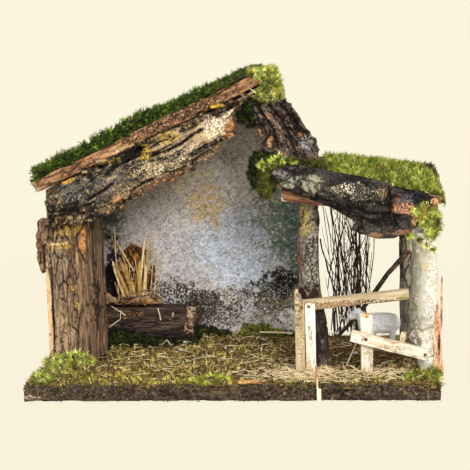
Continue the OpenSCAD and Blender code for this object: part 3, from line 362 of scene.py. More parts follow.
def grow(piece, tree, **sizes):
    """Runs a node tree on a piece, with its inputs by name, inside the CAD part's box."""
    sizes = {"low": cad_box[0], "high": cad_box[1], **sizes}
    step = piece.modifiers.new(tree.name, "NODES")
    step.node_group = tree
    for item in tree.interface.items_tree:
        key = item.name.lower().replace(" ", "_")
        if item.item_type == "SOCKET" and item.in_out == "INPUT" and key in sizes:
            value = sizes[key]
            if item.socket_type == "NodeSocketFloat":
                value = float(value)
            elif item.socket_type == "NodeSocketVector":
                value = tuple(float(v) for v in value)
            step[item.identifier] = value


def settle(piece):
    """Turns a piece and its modifiers into one plain mesh."""
    graph = bpy.context.evaluated_depsgraph_get()
    made = bpy.data.meshes.new_from_object(piece.evaluated_get(graph))
    piece.modifiers.clear()
    piece.data = made
    made.name = piece.name


def declare(piece, slot, *nodes):
    """Hangs a piece on the root body and hides the CAD nodes that it stands for. The slot, its finish, is
    not used.
    """
    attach(piece, "root")
    if nodes:
        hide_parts(*nodes)


def add_lumps(piece, lumps):
    """Adds rounded lumps to a piece: places and half sizes, in mm."""
    shape = bmesh.new()
    shape.from_mesh(piece.data)
    for spot, half in lumps:
        for vert in bmesh.ops.create_icosphere(shape, subdivisions=3, radius=MM)["verts"]:
            vert.co = Vector([c * h for c, h in zip(vert.co, half)]) + Vector(spot) * MM
    shape.to_mesh(piece.data)
    shape.free()


def flakes(corners, count, spread, half, seed):
    """Lumps strewn along a line through places, for a ragged edge. All sizes in mm."""
    dice = random.Random(seed)
    made = []
    for n in range(count):
        at = (n + dice.uniform(0.1, 0.9)) / count * (len(corners) - 1)
        k = min(int(at), len(corners) - 2)
        spot = Vector(corners[k]).lerp(Vector(corners[k + 1]), at - k)
        spot += Vector([dice.uniform(-w, w) for w in spread])
        made.append((spot, [h * dice.uniform(0.55, 1.2) for h in half]))
    return made


def weather(name, slot, finish, nodes, voxel, turn, cell, crack=2.0, width=0.12, lump=1.0, grit=0.3,
            wobble=0.35, swell=0.0, splinter=0.0, lumps=(), furrows=(), furrow=1.6, gouge=3.0,
            lumps_only=False):
    """A CAD solid remade as a weathered piece, with furrows along runs of x and z seen
    from the front. Sizes are in mm, the turn in degrees."""
    piece = copy_of(name, *([] if lumps_only else nodes))
    add_lumps(piece, lumps)
    lines = bmesh.new()
    for run in furrows:
        spots = [lines.verts.new((x * MM, 0, z * MM)) for x, z in run]
        for a, b in zip(spots, spots[1:]):
            lines.edges.new((a, b))
    guide = made_of(lines, name + "_furrows")
    skin_over(piece, voxel)
    grow(piece, relief, turn=[math.radians(a) for a in turn], cell=mm(cell), crack_depth=crack * MM,
         crack_width=width, lump_depth=lump * MM, grit_depth=grit * MM, wobble=wobble, swell=swell * MM,
         splinter=splinter * MM, finish=finish, furrows=guide, furrow_width=furrow * MM, gouge=gouge * MM)
    settle(piece)
    bpy.data.objects.remove(guide)
    declare(piece, slot, *nodes)


def kept_value(tree, label):
    """A value that the relief left on the surface."""
    return wire(tree, "ShaderNodeAttribute", attribute_type="GEOMETRY", attribute_name=label).outputs["Fac"]


# bark_tones: the colour of a weathered surface, from its hollows, lumps and cut ends.
tones, given, result = group_of("bark_tones", "ShaderNodeTree",
    {"Vector": ("Vector", (0, 0, 0)), "High": ("Color", (170, 145, 110)), "Body": ("Color", (110, 85, 62)),
    "Deep": ("Color", (30, 22, 16)), "Cut": ("Color", (170, 120, 75)), "Streak": ("Float", 0.5),
    "Fleck": ("Float", 0.5), "Stroke": ("Vector", (4.5, 4.5, 4.5)), "Crack": ("Float", 0),
    "Lump": ("Float", 0), "Cut mask": ("Float", 0)}, {"Colour": "Color", "Height": "Float"})
across = vec(tones, "MULTIPLY", given["Vector"], (0.35, 1.5, 1.5))
streak = noise(tones, across, 2.2, 5, 0.7, 0.4)
laid = vec(tones, "MULTIPLY", given["Vector"], given["Stroke"])
speck = noise(tones, laid, 1, 4, 0.75)
dots = noise(tones, vec(tones, "ADD", laid, (7, 3, 5)), 1.7, 2, 0.6)
part = times(tones, times(tones, given["Lump"], -0.5), streak, "ADD")
part = times(tones, part, times(tones, times(tones, speck, 0.5, "SUBTRACT"), 0.9), "ADD")
shade = blend(tones, rise(tones, part, 0.02, 0.5), given["Body"], given["High"])
dim = rise(tones, streak, 0.36, 0.62, 0.45, 1.18)
dim = wire(tones, "ShaderNodeMix", {0: given["Streak"], 2: 1, 3: dim}).outputs[0]
shade = vec(tones, "SCALE", shade, dim)
shade = blend(tones, given["Cut mask"], shade, given["Cut"])
shade = blend(tones, given["Crack"], shade, given["Deep"])
spot = times(tones, rise(tones, speck, 0.5, 0.4), given["Fleck"])
shade = blend(tones, spot, shade, given["Deep"])
spot = times(tones, rise(tones, dots, 0.6, 0.68), times(tones, given["Fleck"], 0.8))
shade = blend(tones, spot, shade, given["High"])
tones.links.new(shade, result[0])
tones.links.new(times(tones, streak, speck, "ADD"), result[1])

# lichen: a ragged patch of growth or stain round one place.
lichen, given, result = group_of("lichen_patch", "ShaderNodeTree",
    {"Vector": ("Vector", (0, 0, 0)), "Centre": ("Vector", (0, 0, 0)),
    "Size": ("Vector", (0.01, 0.01, 0.01)), "Ragged": ("Float", 0.8), "Grain": ("Float", 400),
    "Cover": ("Float", 0.6)}, {"Mask": "Float"})
off = vec(lichen, "DIVIDE", vec(lichen, "SUBTRACT", given[0], given["Centre"]), given["Size"])
off = vec(lichen, "LENGTH", off)
broad = noise(lichen, given[0], times(lichen, given["Grain"], 0.22), 3)
broad = times(lichen, times(lichen, broad, 0.5, "SUBTRACT"), times(lichen, given["Ragged"], 4))
rim = rise(lichen, times(lichen, times(lichen, 1, off, "SUBTRACT"), broad, "ADD"), 0, 0.35)
small = noise(lichen, given[0], given["Grain"], 3, 0.6)
small = times(lichen, small, times(lichen, times(lichen, given["Cover"], 0.5, "SUBTRACT"), 0.32), "ADD")
lichen.links.new(times(lichen, rim, rise(lichen, small, 0.47, 0.55)), result[0])


def patch(tree, coords, under, paint, centre, size, cover, grain, ragged=0.5, lean=0):
    """Paints one ragged patch, its centre, half sizes and grain in mm, its lean in degrees."""
    if lean:
        coords = wire(tree, "ShaderNodeVectorRotate",
            {"Vector": coords, "Center": mm(centre), "Axis": (0, 1, 0),
            "Angle": math.radians(lean)}).outputs[0]
    mask = wire(tree, "ShaderNodeGroup", {
        "Vector": coords, "Centre": mm(centre), "Size": mm(size), "Ragged": ragged,
        "Grain": 1 / (grain * MM), "Cover": cover}, node_tree=lichen).outputs[0]
    return blend(tree, mask, under, paint)


def bark_of(name, turn, cell, high, body, deep, cut, streak, patches=(), bump=0.35, roughness=0.92,
            fleck=0.6, stroke=None):
    """A bark or old wood finish: colours of its high, middle, deep and cut places, and patches."""
    made, tree, coords, shader = finish_of(name, roughness)
    crack = kept_value(tree, "crack")
    inner = wire(tree, "ShaderNodeGroup", {
        "Vector": along(tree, coords, turn, cell), "High": high, "Body": body, "Deep": deep, "Cut": cut,
        "Streak": streak, "Fleck": fleck, "Crack": crack, "Lump": kept_value(tree, "lump"),
        "Cut mask": kept_value(tree, "cut")}, node_tree=tones)
    if stroke:
        inner.inputs["Stroke"].default_value = [c / s for c, s in zip(cell, stroke)]
    shade = inner.outputs[0]
    for row in patches:
        shade = patch(tree, coords, shade, *row)
    if patches:
        shade = blend(tree, times(tree, crack, 0.85), shade, deep)
    coat(tree, shader, shade, inner.outputs[1], bump)
    return made


base_finish = bark_of("stained_board", LEVEL, (40, 5, 5), (108, 92, 76), (62, 50, 44), (26, 20, 20),
    (84, 68, 54), 0.45, [((206, 188, 158), (-199, -120, 7), (13, 4, 5), 0.55, 2),
    ((178, 158, 128), (-120, -120, 10), (60, 4, 3), 0.3, 2),
    ((60, 48, 46), (60, -120, 4), (150, 4, 5), 0.5, 4),
    ((150, 130, 104), (120, -120, 9), (70, 4, 3), 0.25, 2)], bump=0.5, fleck=0.8, stroke=(5, 2.2, 2.2))
weather("base_board_stained", "base_wood", base_finish, ["base_board"], 2.3, LEVEL, (26, 6, 6), crack=1.2,
    width=0.14, grit=0.8)


# The wall is thin plywood, with a skin of rough plaster trowelled on its front and sponged with grey,
# lilac, ochre, blue-white and dark green paint. Near-black patches under the ridge and beside the corner
# post are painted shadow.
ply, tree, coords, shader = finish_of("plain_plywood", 0.75)
grain = along(tree, coords, LEVEL, (60, 4, 3))
veneer = noise(tree, grain, 1, 5, 0.6, 0.6)
knots = noise(tree, along(tree, coords, LEVEL, (40, 12, 25)), 1, 2, 0.5, 1.5)
shade = blend(tree, rise(tree, veneer, 0.3, 0.7), (176, 136, 92), (214, 180, 134))
shade = blend(tree, rise(tree, knots, 0.66, 0.74), shade, (122, 84, 52))
coat(tree, shader, shade, veneer, 0.15)


def carried_over(node, finish):
    """A CAD node that stays as it is and only gets its finish."""
    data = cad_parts[node].data
    if not data.materials:
        data.materials.append(finish)
    for n in range(len(data.materials)):
        data.materials[n] = finish


carried_over("rear_wall_panel", ply)

WALL_FACE = 108
plaster, tree, coords, shader = finish_of("sponged_plaster", 0.95)
strokes = noise(tree, along(tree, coords, (0, -35, 0), (7, 3, 2)), 1, 4, 0.65, 0.5)
dashes = noise(tree, along(tree, coords, (0, 48, 0), (4.2, 2, 1.5)), 1, 3, 0.6, 0.9)
dabs = noise(tree, along(tree, coords, (0, 40, 0), (14, 8, 9)), 1, 3, 0.55, 0.8)
clouds = noise(tree, along(tree, coords, LEVEL, (60, 60, 60)), 1, 3, 0.5, 0.6)
shade = blend(tree, rise(tree, clouds, 0.35, 0.65), (198, 190, 190), (222, 218, 216))
for paint, x, z, half_w, half_h, *rest in (
        ((214, 186, 128), -42, 164, 30, 34, 0.6, 3.0, 0.45),
        ((232, 216, 176), -74, 205, 42, 22, 0.5, 3.2, 0.4),
        ((212, 214, 224), -40, 112, 70, 46, 0.7, 5, 0.4),
        ((222, 232, 250), -4, 112, 50, 64, 0.85, 5, 0.3),
        ((220, 212, 216), -110, 150, 40, 70, 0.6, 6, 0.4),
        ((120, 132, 120), -154, 170, 22, 60, 0.75, 5, 0.4),
        ((150, 158, 150), 42, 160, 34, 84, 0.6, 4, 0.5),
        ((128, 148, 140), 56, 160, 26, 88, 0.8, 4, 0.4),
        ((92, 114, 102), 66, 138, 20, 66, 0.55, 3, 0.5),
        ((126, 136, 128), -60, 226, 60, 12, 0.45, 4, 0.4),
        ((112, 90, 70), -8, 56, 26, 22, 0.6, 1.8, 0.5),
        ((58, 50, 42), 34, 62, 36, 32, 0.75, 2.0, 0.5),
        ((28, 26, 24), 48, 76, 22, 22, 0.75, 2.2, 0.5),
        # Painted shadow: the plaster under the ridge, left of the gable slab, darkened to near black.
        ((30, 26, 20), 22, 286, 28, 30, 0.9, 5),
        # Painted shade: the plaster in the narrow gap between the corner post and the reeds, darkened to
        # near black.
        ((62, 46, 38), -152, 92, 12, 60, 0.6, 4, 0.5),
        ((18, 13, 11), -154, 76, 19, 32, 0.97, 6, 0.3),
        ((70, 54, 42), -48, 50, 26, 22, 0.8, 2.2, 0.5),
        ((30, 22, 18), -58, 44, 18, 18, 0.6, 2.4, 0.6),
        ((76, 62, 50), -26, 40, 52, 20, 0.6, 1.8, 0.5),
        ((60, 54, 50), -92, 62, 62, 22, 0.55, 2.6, 0.5),
        ((150, 118, 70), 40, 42, 44, 22, 0.3, 2.0, 0.5),
        ((206, 214, 220), 5, 46, 9, 15, 0.55, 2, 0.8),
        ((226, 222, 212), 20, 50, 84, 34, 0.2, 1.2, 0.5)):
    shade = patch(tree, coords, shade, paint, (x, WALL_FACE, z), (half_w, 9, half_h), *rest)
dark = times(tree, rise(tree, strokes, 0.38, 0.56, 0.66, 1.0), rise(tree, dabs, 0.36, 0.56, 0.88, 1.03))
dark = times(tree, dark, rise(tree, dashes, 0.37, 0.45, 0.42, 1.02))
pits = noise(tree, along(tree, coords, (0, 20, 0), (1.4, 1.3, 1.1)), 1, 2, 0.6, 0.6)
dark = times(tree, dark, rise(tree, pits, 0.36, 0.46, 0.46, 1.02))
shade = vec(tree, "SCALE", shade, dark)
coat(tree, shader, shade, times(tree, strokes, dabs, "ADD"), 0.7)
weather("wall_plaster_rough", "plaster", plaster, ["wall_plaster"], 1.65, (0, -35, 0), (26, 14, 14),
    crack=0.2, width=0.3, lump=0.9, grit=0.5, wobble=1.2)


# The corner post at the left is a short piece of trunk, split flat at the front,
# with plates of grey-brown bark left on it and a thin bark slab behind it.
UPRIGHT = (0, -90, 0)
trunk_finish = bark_of("trunk_bark", UPRIGHT, (26, 6, 6), (176, 146, 116), (122, 96, 76), (52, 36, 28),
    (150, 116, 80), 0.7, [((156, 126, 106), (-154, -25, 90), (12, 10, 80), 0.85, 6),
    ((44, 32, 26), (-154, -25, 78), (4, 8, 18), 0.3, 2.2),
    ((208, 148, 84), (-160, -25, 150), (8, 10, 24), 0.8, 3),
    ((112, 70, 44), (-160, -25, 146), (6, 10, 22), 0.4, 2),
    ((214, 172, 62), (-156, -25, 148), (4, 10, 20), 0.6, 2),
    ((196, 156, 66), (-172, -25, 162), (16, 12, 9), 0.5, 2.2),
    ((176, 140, 118), (-160, -25, 66), (4, 10, 12), 0.5, 3)], stroke=(9, 1.7, 1.7))
weather("trunk_weathered", "post_bark", trunk_finish, ["left_post_trunk"], 1.25, UPRIGHT, (60, 6, 6),
    crack=1.6, width=0.16, lump=1.4, grit=0.6, wobble=0.5,
    furrows=[[(-158, 170), (-164, 160), (-169, 153)], [(-167, 140), (-163, 132), (-160, 125)],
    [(-169, 153), (-168, 146), (-167, 140)], [(-156, 98), (-154, 88), (-157, 78), (-154, 68), (-156, 58)]],
    furrow=1.3, gouge=2.4, lumps=[((-153, 46, 73), (8, 7, 8)), ((-146, 47, 71), (6, 5, 4.4)),
    ((-141, 48, 70), (5, 4, 2.8))])
plate_finish = bark_of("plate_bark", UPRIGHT, (22, 7, 7), (174, 148, 116), (124, 98, 76), (40, 28, 24),
    (196, 168, 122), 0.75, [((214, 174, 66), (-170, -30, 99), (10, 8, 6), 0.55, 1.8),
    ((210, 170, 66), (-174, -30, 160), (16, 8, 7), 0.45, 2),
    ((206, 168, 70), (-182, -30, 145), (12, 8, 4), 0.5, 1.8),
    ((196, 158, 66), (-168, -30, 81), (5, 8, 6), 0.5, 2),
    ((104, 96, 92), (-185, -32, 112), (14, 8, 40), 0.4, 2.4),
    ((168, 136, 116), (-176, -32, 34), (18, 8, 16), 0.4, 2.6),
    ((238, 198, 150), (-203, -28, 66), (7.5, 16, 78), 0.97, 6, 0.25),
    ((40, 28, 22), (-195.5, -31, 62), (1.5, 9, 60), 0.85, 3),
    # Painted highlight: a pale line for the lit top of the ledge where the upper plate is set back from the
    # lower one.
    ((238, 214, 170), (-190, -31, 147.6), (18, 8, 1.8), 0.95, 3),
    ((190, 160, 130), (-184, -32, 44), (16, 8, 22), 0.4, 2.4)], fleck=0.65, stroke=(8, 1.6, 1.6))
weather("trunk_plate_lower", "post_bark", plate_finish, ["left_post_bark_plate"], 0.75, UPRIGHT, (24, 7, 7),
    crack=1.7, width=0.13, lump=1.3, grit=1.0, wobble=0.8, swell=0.5,
    furrows=[[(-195.5, 120), (-196, 90), (-195, 60), (-197, 26)], [(-186, 88), (-180, 84)],
    [(-178, 60), (-170, 52)]], furrow=1.1, gouge=2.0,
    lumps=flakes([(-186, -29, 16), (-172, -28, 60), (-172, -28, 140)], 12, (3, 1, 4), (5, 2.4, 8), 7))
weather("trunk_plate_upper", "post_bark", plate_finish, ["left_post_bark_upper"], 0.7, UPRIGHT, (14, 6, 6),
    width=0.2, lump=2.4, grit=1.0, swell=0.5, lumps=flakes([(-200, -26, 151), (-174, -27, 150)], 9,
    (1, 1, 2), (5, 2.2, 4), 9) + flakes([(-198, -26, 166), (-174, -27, 172)], 8, (2, 1, 4), (5, 3, 5), 10))
curl_finish = bark_of(
    "curl_bark", UPRIGHT, (18, 5, 5), (160, 130, 104), (96, 70, 54), (30, 18, 14), (170, 130, 90), 0.7,
    [((214, 184, 146), (-212, -24, 138), (5, 10, 14), 0.45, 2.5)], stroke=(4, 1.6, 1.6))
weather("trunk_bark_curl", "dark_bark", curl_finish, ["left_post_bark_curl"], 0.6, UPRIGHT, (10, 4, 4),
    crack=1.6, width=0.18, lump=1.4, grit=0.8, lumps=[((-200, -24, 168), (6, 4, 5)),
    ((-201, -24, 162), (6, 4, 5)), ((-202, -26, 172), (6, 4, 4)), ((-206, -26, 166), (5, 4, 8)),
    ((-208, -26, 156), (4.5, 4.5, 8)), ((-208, -27, 146), (4.5, 5, 7)), ((-208, -27, 134), (4, 5, 10)),
    ((-205, -27, 121), (3, 4, 7)), ((-201, -27, 149), (7, 3, 3))])
SLAB_X = -199
RIDGE_STEP = 11
RIDGE_LUMPS = 17
slab_finish = bark_of(
    "side_slab_bark", UPRIGHT, (34, 9, 9), (140, 120, 96), (86, 66, 52), (30, 22, 18), (176, 132, 88), 0.7,
    [((150, 156, 140), (-203, 80, 150), (6, 30, 50), 0.45, 3.5)], stroke=(8, 2, 2))
weather("side_slab_weathered", "dark_bark", slab_finish, ["left_side_bark_slab"], 1.3, UPRIGHT, (34, 9, 9),
    crack=1.8, width=0.14, grit=0.5, swell=1.4,
    lumps=[((SLAB_X + 0.6 * (n % 3), 56, 16 + RIDGE_STEP * n), (4.5, 5, 8)) for n in range(RIDGE_LUMPS)]
    + [((SLAB_X, 105, 18 + RIDGE_STEP * n), (4, 2.4, 8)) for n in range(RIDGE_LUMPS)])


# The main roof is one softwood plank, gone orange-brown along its broken front edge,
# nailed on the wall and the corner post at the slope of the roof.
SLOPE = (0, -24.5, 0)
plank_finish = bark_of("roof_plank", SLOPE, (50, 6, 5), (196, 150, 108), (150, 106, 74), (50, 34, 26),
    (190, 168, 140), 0.85, [((80, 58, 46), (-60, -50, 276), (90, 8, 30), 0.5, 3),
    ((196, 150, 108), (-60, -50, 268), (110, 8, 60), 0.3, 2),
    ((58, 42, 34), (-40, -50, 290), (60, 8, 22), 0.4, 2.4, 0.5, 24),
    ((190, 168, 140), (-206, -30, 210), (9, 60, 10), 0.7, 5),
    ((212, 186, 148), (-110, -50, 244), (16, 8, 12), 0.5, 2.4)], bump=0.4, roughness=0.9, fleck=0.75,
    stroke=(5, 1.8, 1.8))
weather("roof_plank_weathered", "roof_wood", plank_finish, ["main_roof_board"], 1.7, SLOPE, (22, 7, 4),
    crack=2.6, width=0.2, lump=1.6, grit=1.0, wobble=0.6, swell=0.9, splinter=3)


# The bark fascia is one long slab of old bark, glued under the front edge of the
# roof. It is deeply fissured along its length and carries pale and yellow lichen.
fascia_finish = bark_of("fascia_bark", SLOPE, (34, 9, 9), (196, 172, 134), (108, 90, 70), (16, 12, 11),
    (196, 148, 96), 0.6, [((28, 25, 25), (-176, -50, 190), (30, 14, 40), 0.78, 3),
    ((44, 42, 44), (-150, -50, 200), (34, 14, 30), 0.62, 4),
    ((48, 44, 44), (-104, -52, 226), (34, 12, 18), 0.55, 4, 0.5, 24),
    ((136, 142, 132), (-172, -50, 206), (30, 12, 20), 0.45, 2),
    ((104, 118, 116), (-180, -50, 214), (22, 12, 12), 0.4, 2.2),
    ((30, 30, 36), (-150, -50, 178), (46, 12, 9), 0.8, 5),
    ((82, 76, 74), (-118, -52, 208), (28, 12, 13), 0.5, 2.6, 0.5, 24),
    ((104, 102, 104), (-130, -52, 220), (22, 12, 14), 0.42, 2.4),
    ((236, 222, 192), (-58, -52, 236), (46, 12, 15), 0.36, 1.8, 0.5, 24),
    ((196, 166, 124), (-14, -52, 270), (28, 12, 26), 0.5, 2),
    ((252, 242, 218), (-8, -52, 270), (22, 12, 24), 0.5, 1.8),
    ((146, 104, 72), (-20, -52, 300), (64, 14, 8), 0.9, 3, 0.4, 24),
    ((96, 66, 50), (10, -52, 304), (30, 14, 12), 0.5, 2.4, 0.5, 24),
    ((214, 178, 74), (-64, -52, 262), (12, 12, 12), 0.5, 1.8),
    ((236, 190, 62), (-12, -52, 291), (10, 12, 7), 0.75, 1.8),
    ((214, 150, 56), (-2, -52, 299), (9, 12, 6), 0.7, 1.8),
    ((228, 188, 66), (-24, -52, 289), (16, 12, 7), 0.5, 1.6),
    ((214, 180, 74), (-88, -52, 244), (9, 12, 9), 0.6, 1.8),
    ((206, 158, 66), (-168, -52, 219), (11, 12, 6), 0.55, 2),
    ((200, 166, 76), (-122, -52, 240), (12, 12, 8), 0.5, 2),
    ((222, 160, 112), (-117, -48, 195), (6, 16, 9), 0.8, 2.4),
    ((120, 76, 56), (-62, -44, 216), (58, 16, 6), 0.7, 3, 0.5, 24),
    ((22, 18, 18), (-98, -52, 246), (14, 12, 9), 0.9, 3, 0.5, 24),
    ((24, 20, 18), (-48, -52, 276), (26, 12, 4), 0.8, 3, 0.5, 24),
    ((230, 160, 104), (2, -40, 266), (7, 16, 14), 0.85, 3)], bump=0.4, fleck=0.85, stroke=(2.2, 5, 5))
weather("fascia_weathered", "dark_bark", fascia_finish, ["main_roof_bark_fascia"], 1.0, SLOPE, (34, 9, 9),
    crack=4.0, width=0.2, lump=2.2, grit=1.8, wobble=1.1, swell=1.0, splinter=4,
    lumps=flakes([(-193, -40, 198), (-191, -40, 170)], 7, (2, 4, 2), (4, 8, 5), 3)
    + flakes([(-190, -38, 168), (-163, -38, 173), (-130, -38, 181), (-114, -38, 190), (-97, -38, 203),
    (-67, -38, 214), (-36, -38, 230), (-7, -38, 250), (4, -38, 272)], 34, (3, 3, 1.5), (6, 9, 4.5), 4)
    + flakes([(-188, -50, 207), (-120, -50, 238), (-60, -50, 266), (24, -50, 304)], 30, (3, 1, 2.5),
    (7, 3, 3.4), 6), furrows=[[(-102, 246), (-90, 252), (-74, 268), (-54, 276), (-34, 284), (-10, 296)],
    [(-80, 241), (-64, 246), (-49, 253), (-36, 263), (-27, 267)],
    [(-129, 222), (-120, 230), (-106, 238), (-97, 248)], [(-148, 197), (-132, 206), (-122, 213)],
    [(-104, 204), (-92, 212), (-80, 216)], [(-186, 184), (-165, 184), (-148, 178)],
    [(-40, 240), (-20, 250), (-8, 256)], [(-12, 280), (4, 290)]], furrow=2.0, gouge=4.0)


# The gable slab is a second piece of bark, glued down the far side of the ridge. It
# is darker than the fascia, furrowed from top to bottom, and torn along both edges.
GABLE = (0, 53, 0)
gable_finish = bark_of("gable_bark", GABLE, (24, 6, 6), (142, 122, 112), (64, 48, 42), (12, 8, 8),
    (116, 88, 70), 0.7, [((196, 148, 112), (58, -50, 262), (26, 12, 34), 0.2, 2),
    ((20, 14, 13), (60, -50, 268), (34, 14, 34), 0.42, 3),
    ((168, 166, 168), (79, -46, 252), (8, 30, 9), 0.6, 2.4),
    ((206, 148, 106), (73, -50, 259), (5, 12, 5), 0.5, 2),
    ((200, 150, 92), (40, -50, 279), (6, 12, 4), 0.5, 2),
    ((206, 158, 112), (33, -50, 262), (7, 14, 10), 0.55, 2.2, 0.5, -50),
    ((216, 172, 126), (42, -50, 252), (3, 12, 7), 0.7, 2.2),
    # Painted shade: the slab's lower end darkened to near black, on its underside.
    ((20, 14, 12), (40, -50, 236), (14, 14, 9), 0.9, 4)], bump=0.4, fleck=0.85, stroke=(5, 1.6, 1.6))
weather("gable_slab_weathered", "dark_bark", gable_finish, ["gable_bark_slab"], 1.3, GABLE, (18, 6, 6),
    crack=3.6, width=0.24, lump=3.0, grit=1.8, wobble=1.2, swell=0.8, splinter=5,
    lumps=flakes([(50, -46, 300), (68, -46, 280), (90, -46, 250)], 14, (3, 3, 3), (4, 4, 4), 12)
    + flakes([(26, -46, 288), (34, -47, 262), (38, -47, 244)], 10, (3, 2, 3), (4, 3, 6), 13)
    + flakes([(40, -48, 244), (88, -46, 242)], 8, (3, 2, 4), (5, 3, 5), 14),
    furrows=[[(31, 287), (39, 276), (46, 265), (50, 248)], [(42, 290), (54, 276), (62, 258), (66, 246)],
    [(52, 292), (66, 276), (74, 262)], [(28, 276), (36, 266), (40, 256)]], furrow=1.8, gouge=3.4)


# Moss grows as a cushion of short sprigs. Each cushion is glued on, and its sprigs
# stand on it in every direction. The same three sprigs make all the moss here.
def sprig(name, blades):
    """A tuft of thin pointed leaves. Each has a foot, a tip and a width, in mm."""
    shape = bmesh.new()
    for foot, tip, width in blades:
        foot, tip = Vector(foot), Vector(tip)
        run = (tip - foot).normalized()
        flat = run.cross(Vector((0.3, 0.2, 1))).normalized() * width
        thick = run.cross(flat).normalized() * width * 0.45
        corners = [shape.verts.new((foot + c) * MM)
            for c in (flat, thick - flat * 0.5, -thick - flat * 0.5)]
        point = shape.verts.new(tip * MM)
        shape.faces.new((corners[2], corners[1], corners[0]))
        for n in range(3):
            shape.faces.new((corners[n], corners[(n + 1) % 3], point))
    bmesh.ops.recalc_face_normals(shape, faces=shape.faces)
    return made_of(shape, name, False)


def chance(tree, low, high, seed):
    """A random value or vector between two others, from a fixed seed."""
    if isinstance(low, tuple):
        return wire(tree, "FunctionNodeRandomValue", {0: low, 1: high, 8: seed},
                    data_type="FLOAT_VECTOR").outputs[0]
    return wire(tree, "FunctionNodeRandomValue", {2: low, 3: high, 8: seed}, data_type="FLOAT").outputs[1]


ROOT = (0, 0, 0)
sprigs = bpy.data.collections.new("moss_sprigs")
for name, blades in (
        ("sprig_star", [(ROOT, (1.6, 0.2, 3.2), 0.5), (ROOT, (-1.4, 0.9, 3.0), 0.5),
            (ROOT, (-0.2, -1.8, 2.8), 0.5), (ROOT, (0.6, 1.7, 3.6), 0.5), (ROOT, (0.1, 0.1, 4.2), 0.5)]),
        ("sprig_feather", [(ROOT, (1.2, 0, 5.2), 0.45), ((0.3, 0, 1.4), (-0.9, 0.6, 3.0), 0.4),
            ((0.5, 0, 2.2), (1.2, 1.7, 3.6), 0.4), ((0.7, 0, 3.0), (0.2, -1.4, 4.3), 0.35),
            ((0.2, 0, 1.0), (1.6, -1.1, 2.0), 0.4)]),
        ("sprig_low", [(ROOT, (2.4, 0.3, 1.6), 0.55), (ROOT, (-1.9, 1.3, 1.9), 0.55),
            (ROOT, (-0.6, -2.2, 1.5), 0.5), (ROOT, (0.9, 1.9, 2.2), 0.5)])):
    sprigs.objects.link(sprig(name, blades))

mossy, given, result = group_of("moss_cushion", "GeometryNodeTree",
    {"Geometry": ("Geometry", None), "Sprigs": ("Collection", None), "Count per m2": ("Float", 200000),
    "Size": ("Float", 1), "Shrink": ("Float", 0.0015), "Lumps": ("Float", 0.002),
    "Lump size": ("Float", 0.012), "Side": ("Float", 0), "Lean": ("Vector", (0, 0, 0.6)),
    "Seed": ("Int", 1), "Low": ("Vector", (-1, -1, 0)), "High": ("Vector", (1, 1, 1)),
    "Hanging": ("Float", 1), "Cushion": ("Material", None), "Leaf": ("Material", None)},
    {"Geometry": "Geometry"})
place = wire(mossy, "GeometryNodeInputPosition").outputs[0]
facing = wire(mossy, "GeometryNodeInputNormal").outputs[0]
cells = vec(mossy, "DIVIDE", place, given["Lump size"])
swell = span(mossy, noise(mossy, cells, 1, 3, 0.55), 0.32, 0.68, 1, 0)
sunk = times(mossy, times(mossy, swell, given["Lumps"]), given["Shrink"], "ADD")
seat = wire(mossy, "ShaderNodeSeparateXYZ", {"Vector": facing}).outputs["Z"]
flank = span(mossy, seat, 0.35, 0.85, 1, 0)
sunk = times(mossy, sunk, times(mossy, flank, given["Side"]), "ADD")
sunk = times(mossy, sunk, span(mossy, seat, -0.7, -0.2))
step = vec(mossy, "SCALE", facing, times(mossy, sunk, -1))
bed = wire(mossy, "GeometryNodeSetPosition", {"Geometry": given[0], "Offset": step}).outputs[0]
bed = mark(mossy, bed, "lump", swell, "POINT")
bed = wire(mossy, "GeometryNodeSetShadeSmooth", {"Geometry": bed}).outputs[0]
able = span(mossy, seat, -0.85, -0.1, given["Hanging"], 1)
crowd = times(mossy, times(mossy, given["Count per m2"], able), span(mossy, swell, 0, 1, 1.25, 0.55))
dots = wire(mossy, "GeometryNodeDistributePointsOnFaces",
    {"Mesh": bed, "Density": crowd, "Seed": given["Seed"]})
sway = chance(mossy, (-0.6, -0.6, -0.4), (0.6, 0.6, 0.6), 5)
aim = vec(mossy, "ADD", dots.outputs[1], given["Lean"])
aim = vec(mossy, "ADD", aim, sway)
stand = wire(mossy, "FunctionNodeAlignRotationToVector", {"Vector": aim}, axis="Z").outputs[0]
spin = chance(mossy, 0, 6.283, 7)
spin = wire(mossy, "ShaderNodeCombineXYZ", {"Z": spin}).outputs[0]
stand = wire(mossy, "FunctionNodeRotateRotation", {"Rotation": stand, "Rotate By": spin},
    rotation_space="LOCAL").outputs[0]
big = chance(mossy, 0.65, 1.2, 9)
big = times(mossy, big, given["Size"])
kinds = wire(mossy, "GeometryNodeCollectionInfo",
    {"Collection": given["Sprigs"], "Separate Children": True, "Reset Children": True}).outputs[0]
grown = wire(mossy, "GeometryNodeInstanceOnPoints",
    {"Points": dots.outputs[0], "Instance": kinds, "Pick Instance": True, "Rotation": stand,
    "Scale": big}).outputs[0]
lot = chance(mossy, 0, 1, 11)
grown = mark(mossy, grown, "lot", lot, "INSTANCE")
grown = wire(mossy, "GeometryNodeRealizeInstances", {"Geometry": grown}).outputs[0]
grown = keep_inside(mossy, grown, given)
grown = wire(mossy, "GeometryNodeSetMaterial", {"Geometry": grown, "Material": given["Leaf"]}).outputs[0]
bed = wire(mossy, "GeometryNodeSetMaterial", {"Geometry": bed, "Material": given["Cushion"]}).outputs[0]
both = wire(mossy, "GeometryNodeJoinGeometry")
mossy.links.new(bed, both.inputs[0])
mossy.links.new(grown, both.inputs[0])
mossy.links.new(both.outputs[0], result[0])


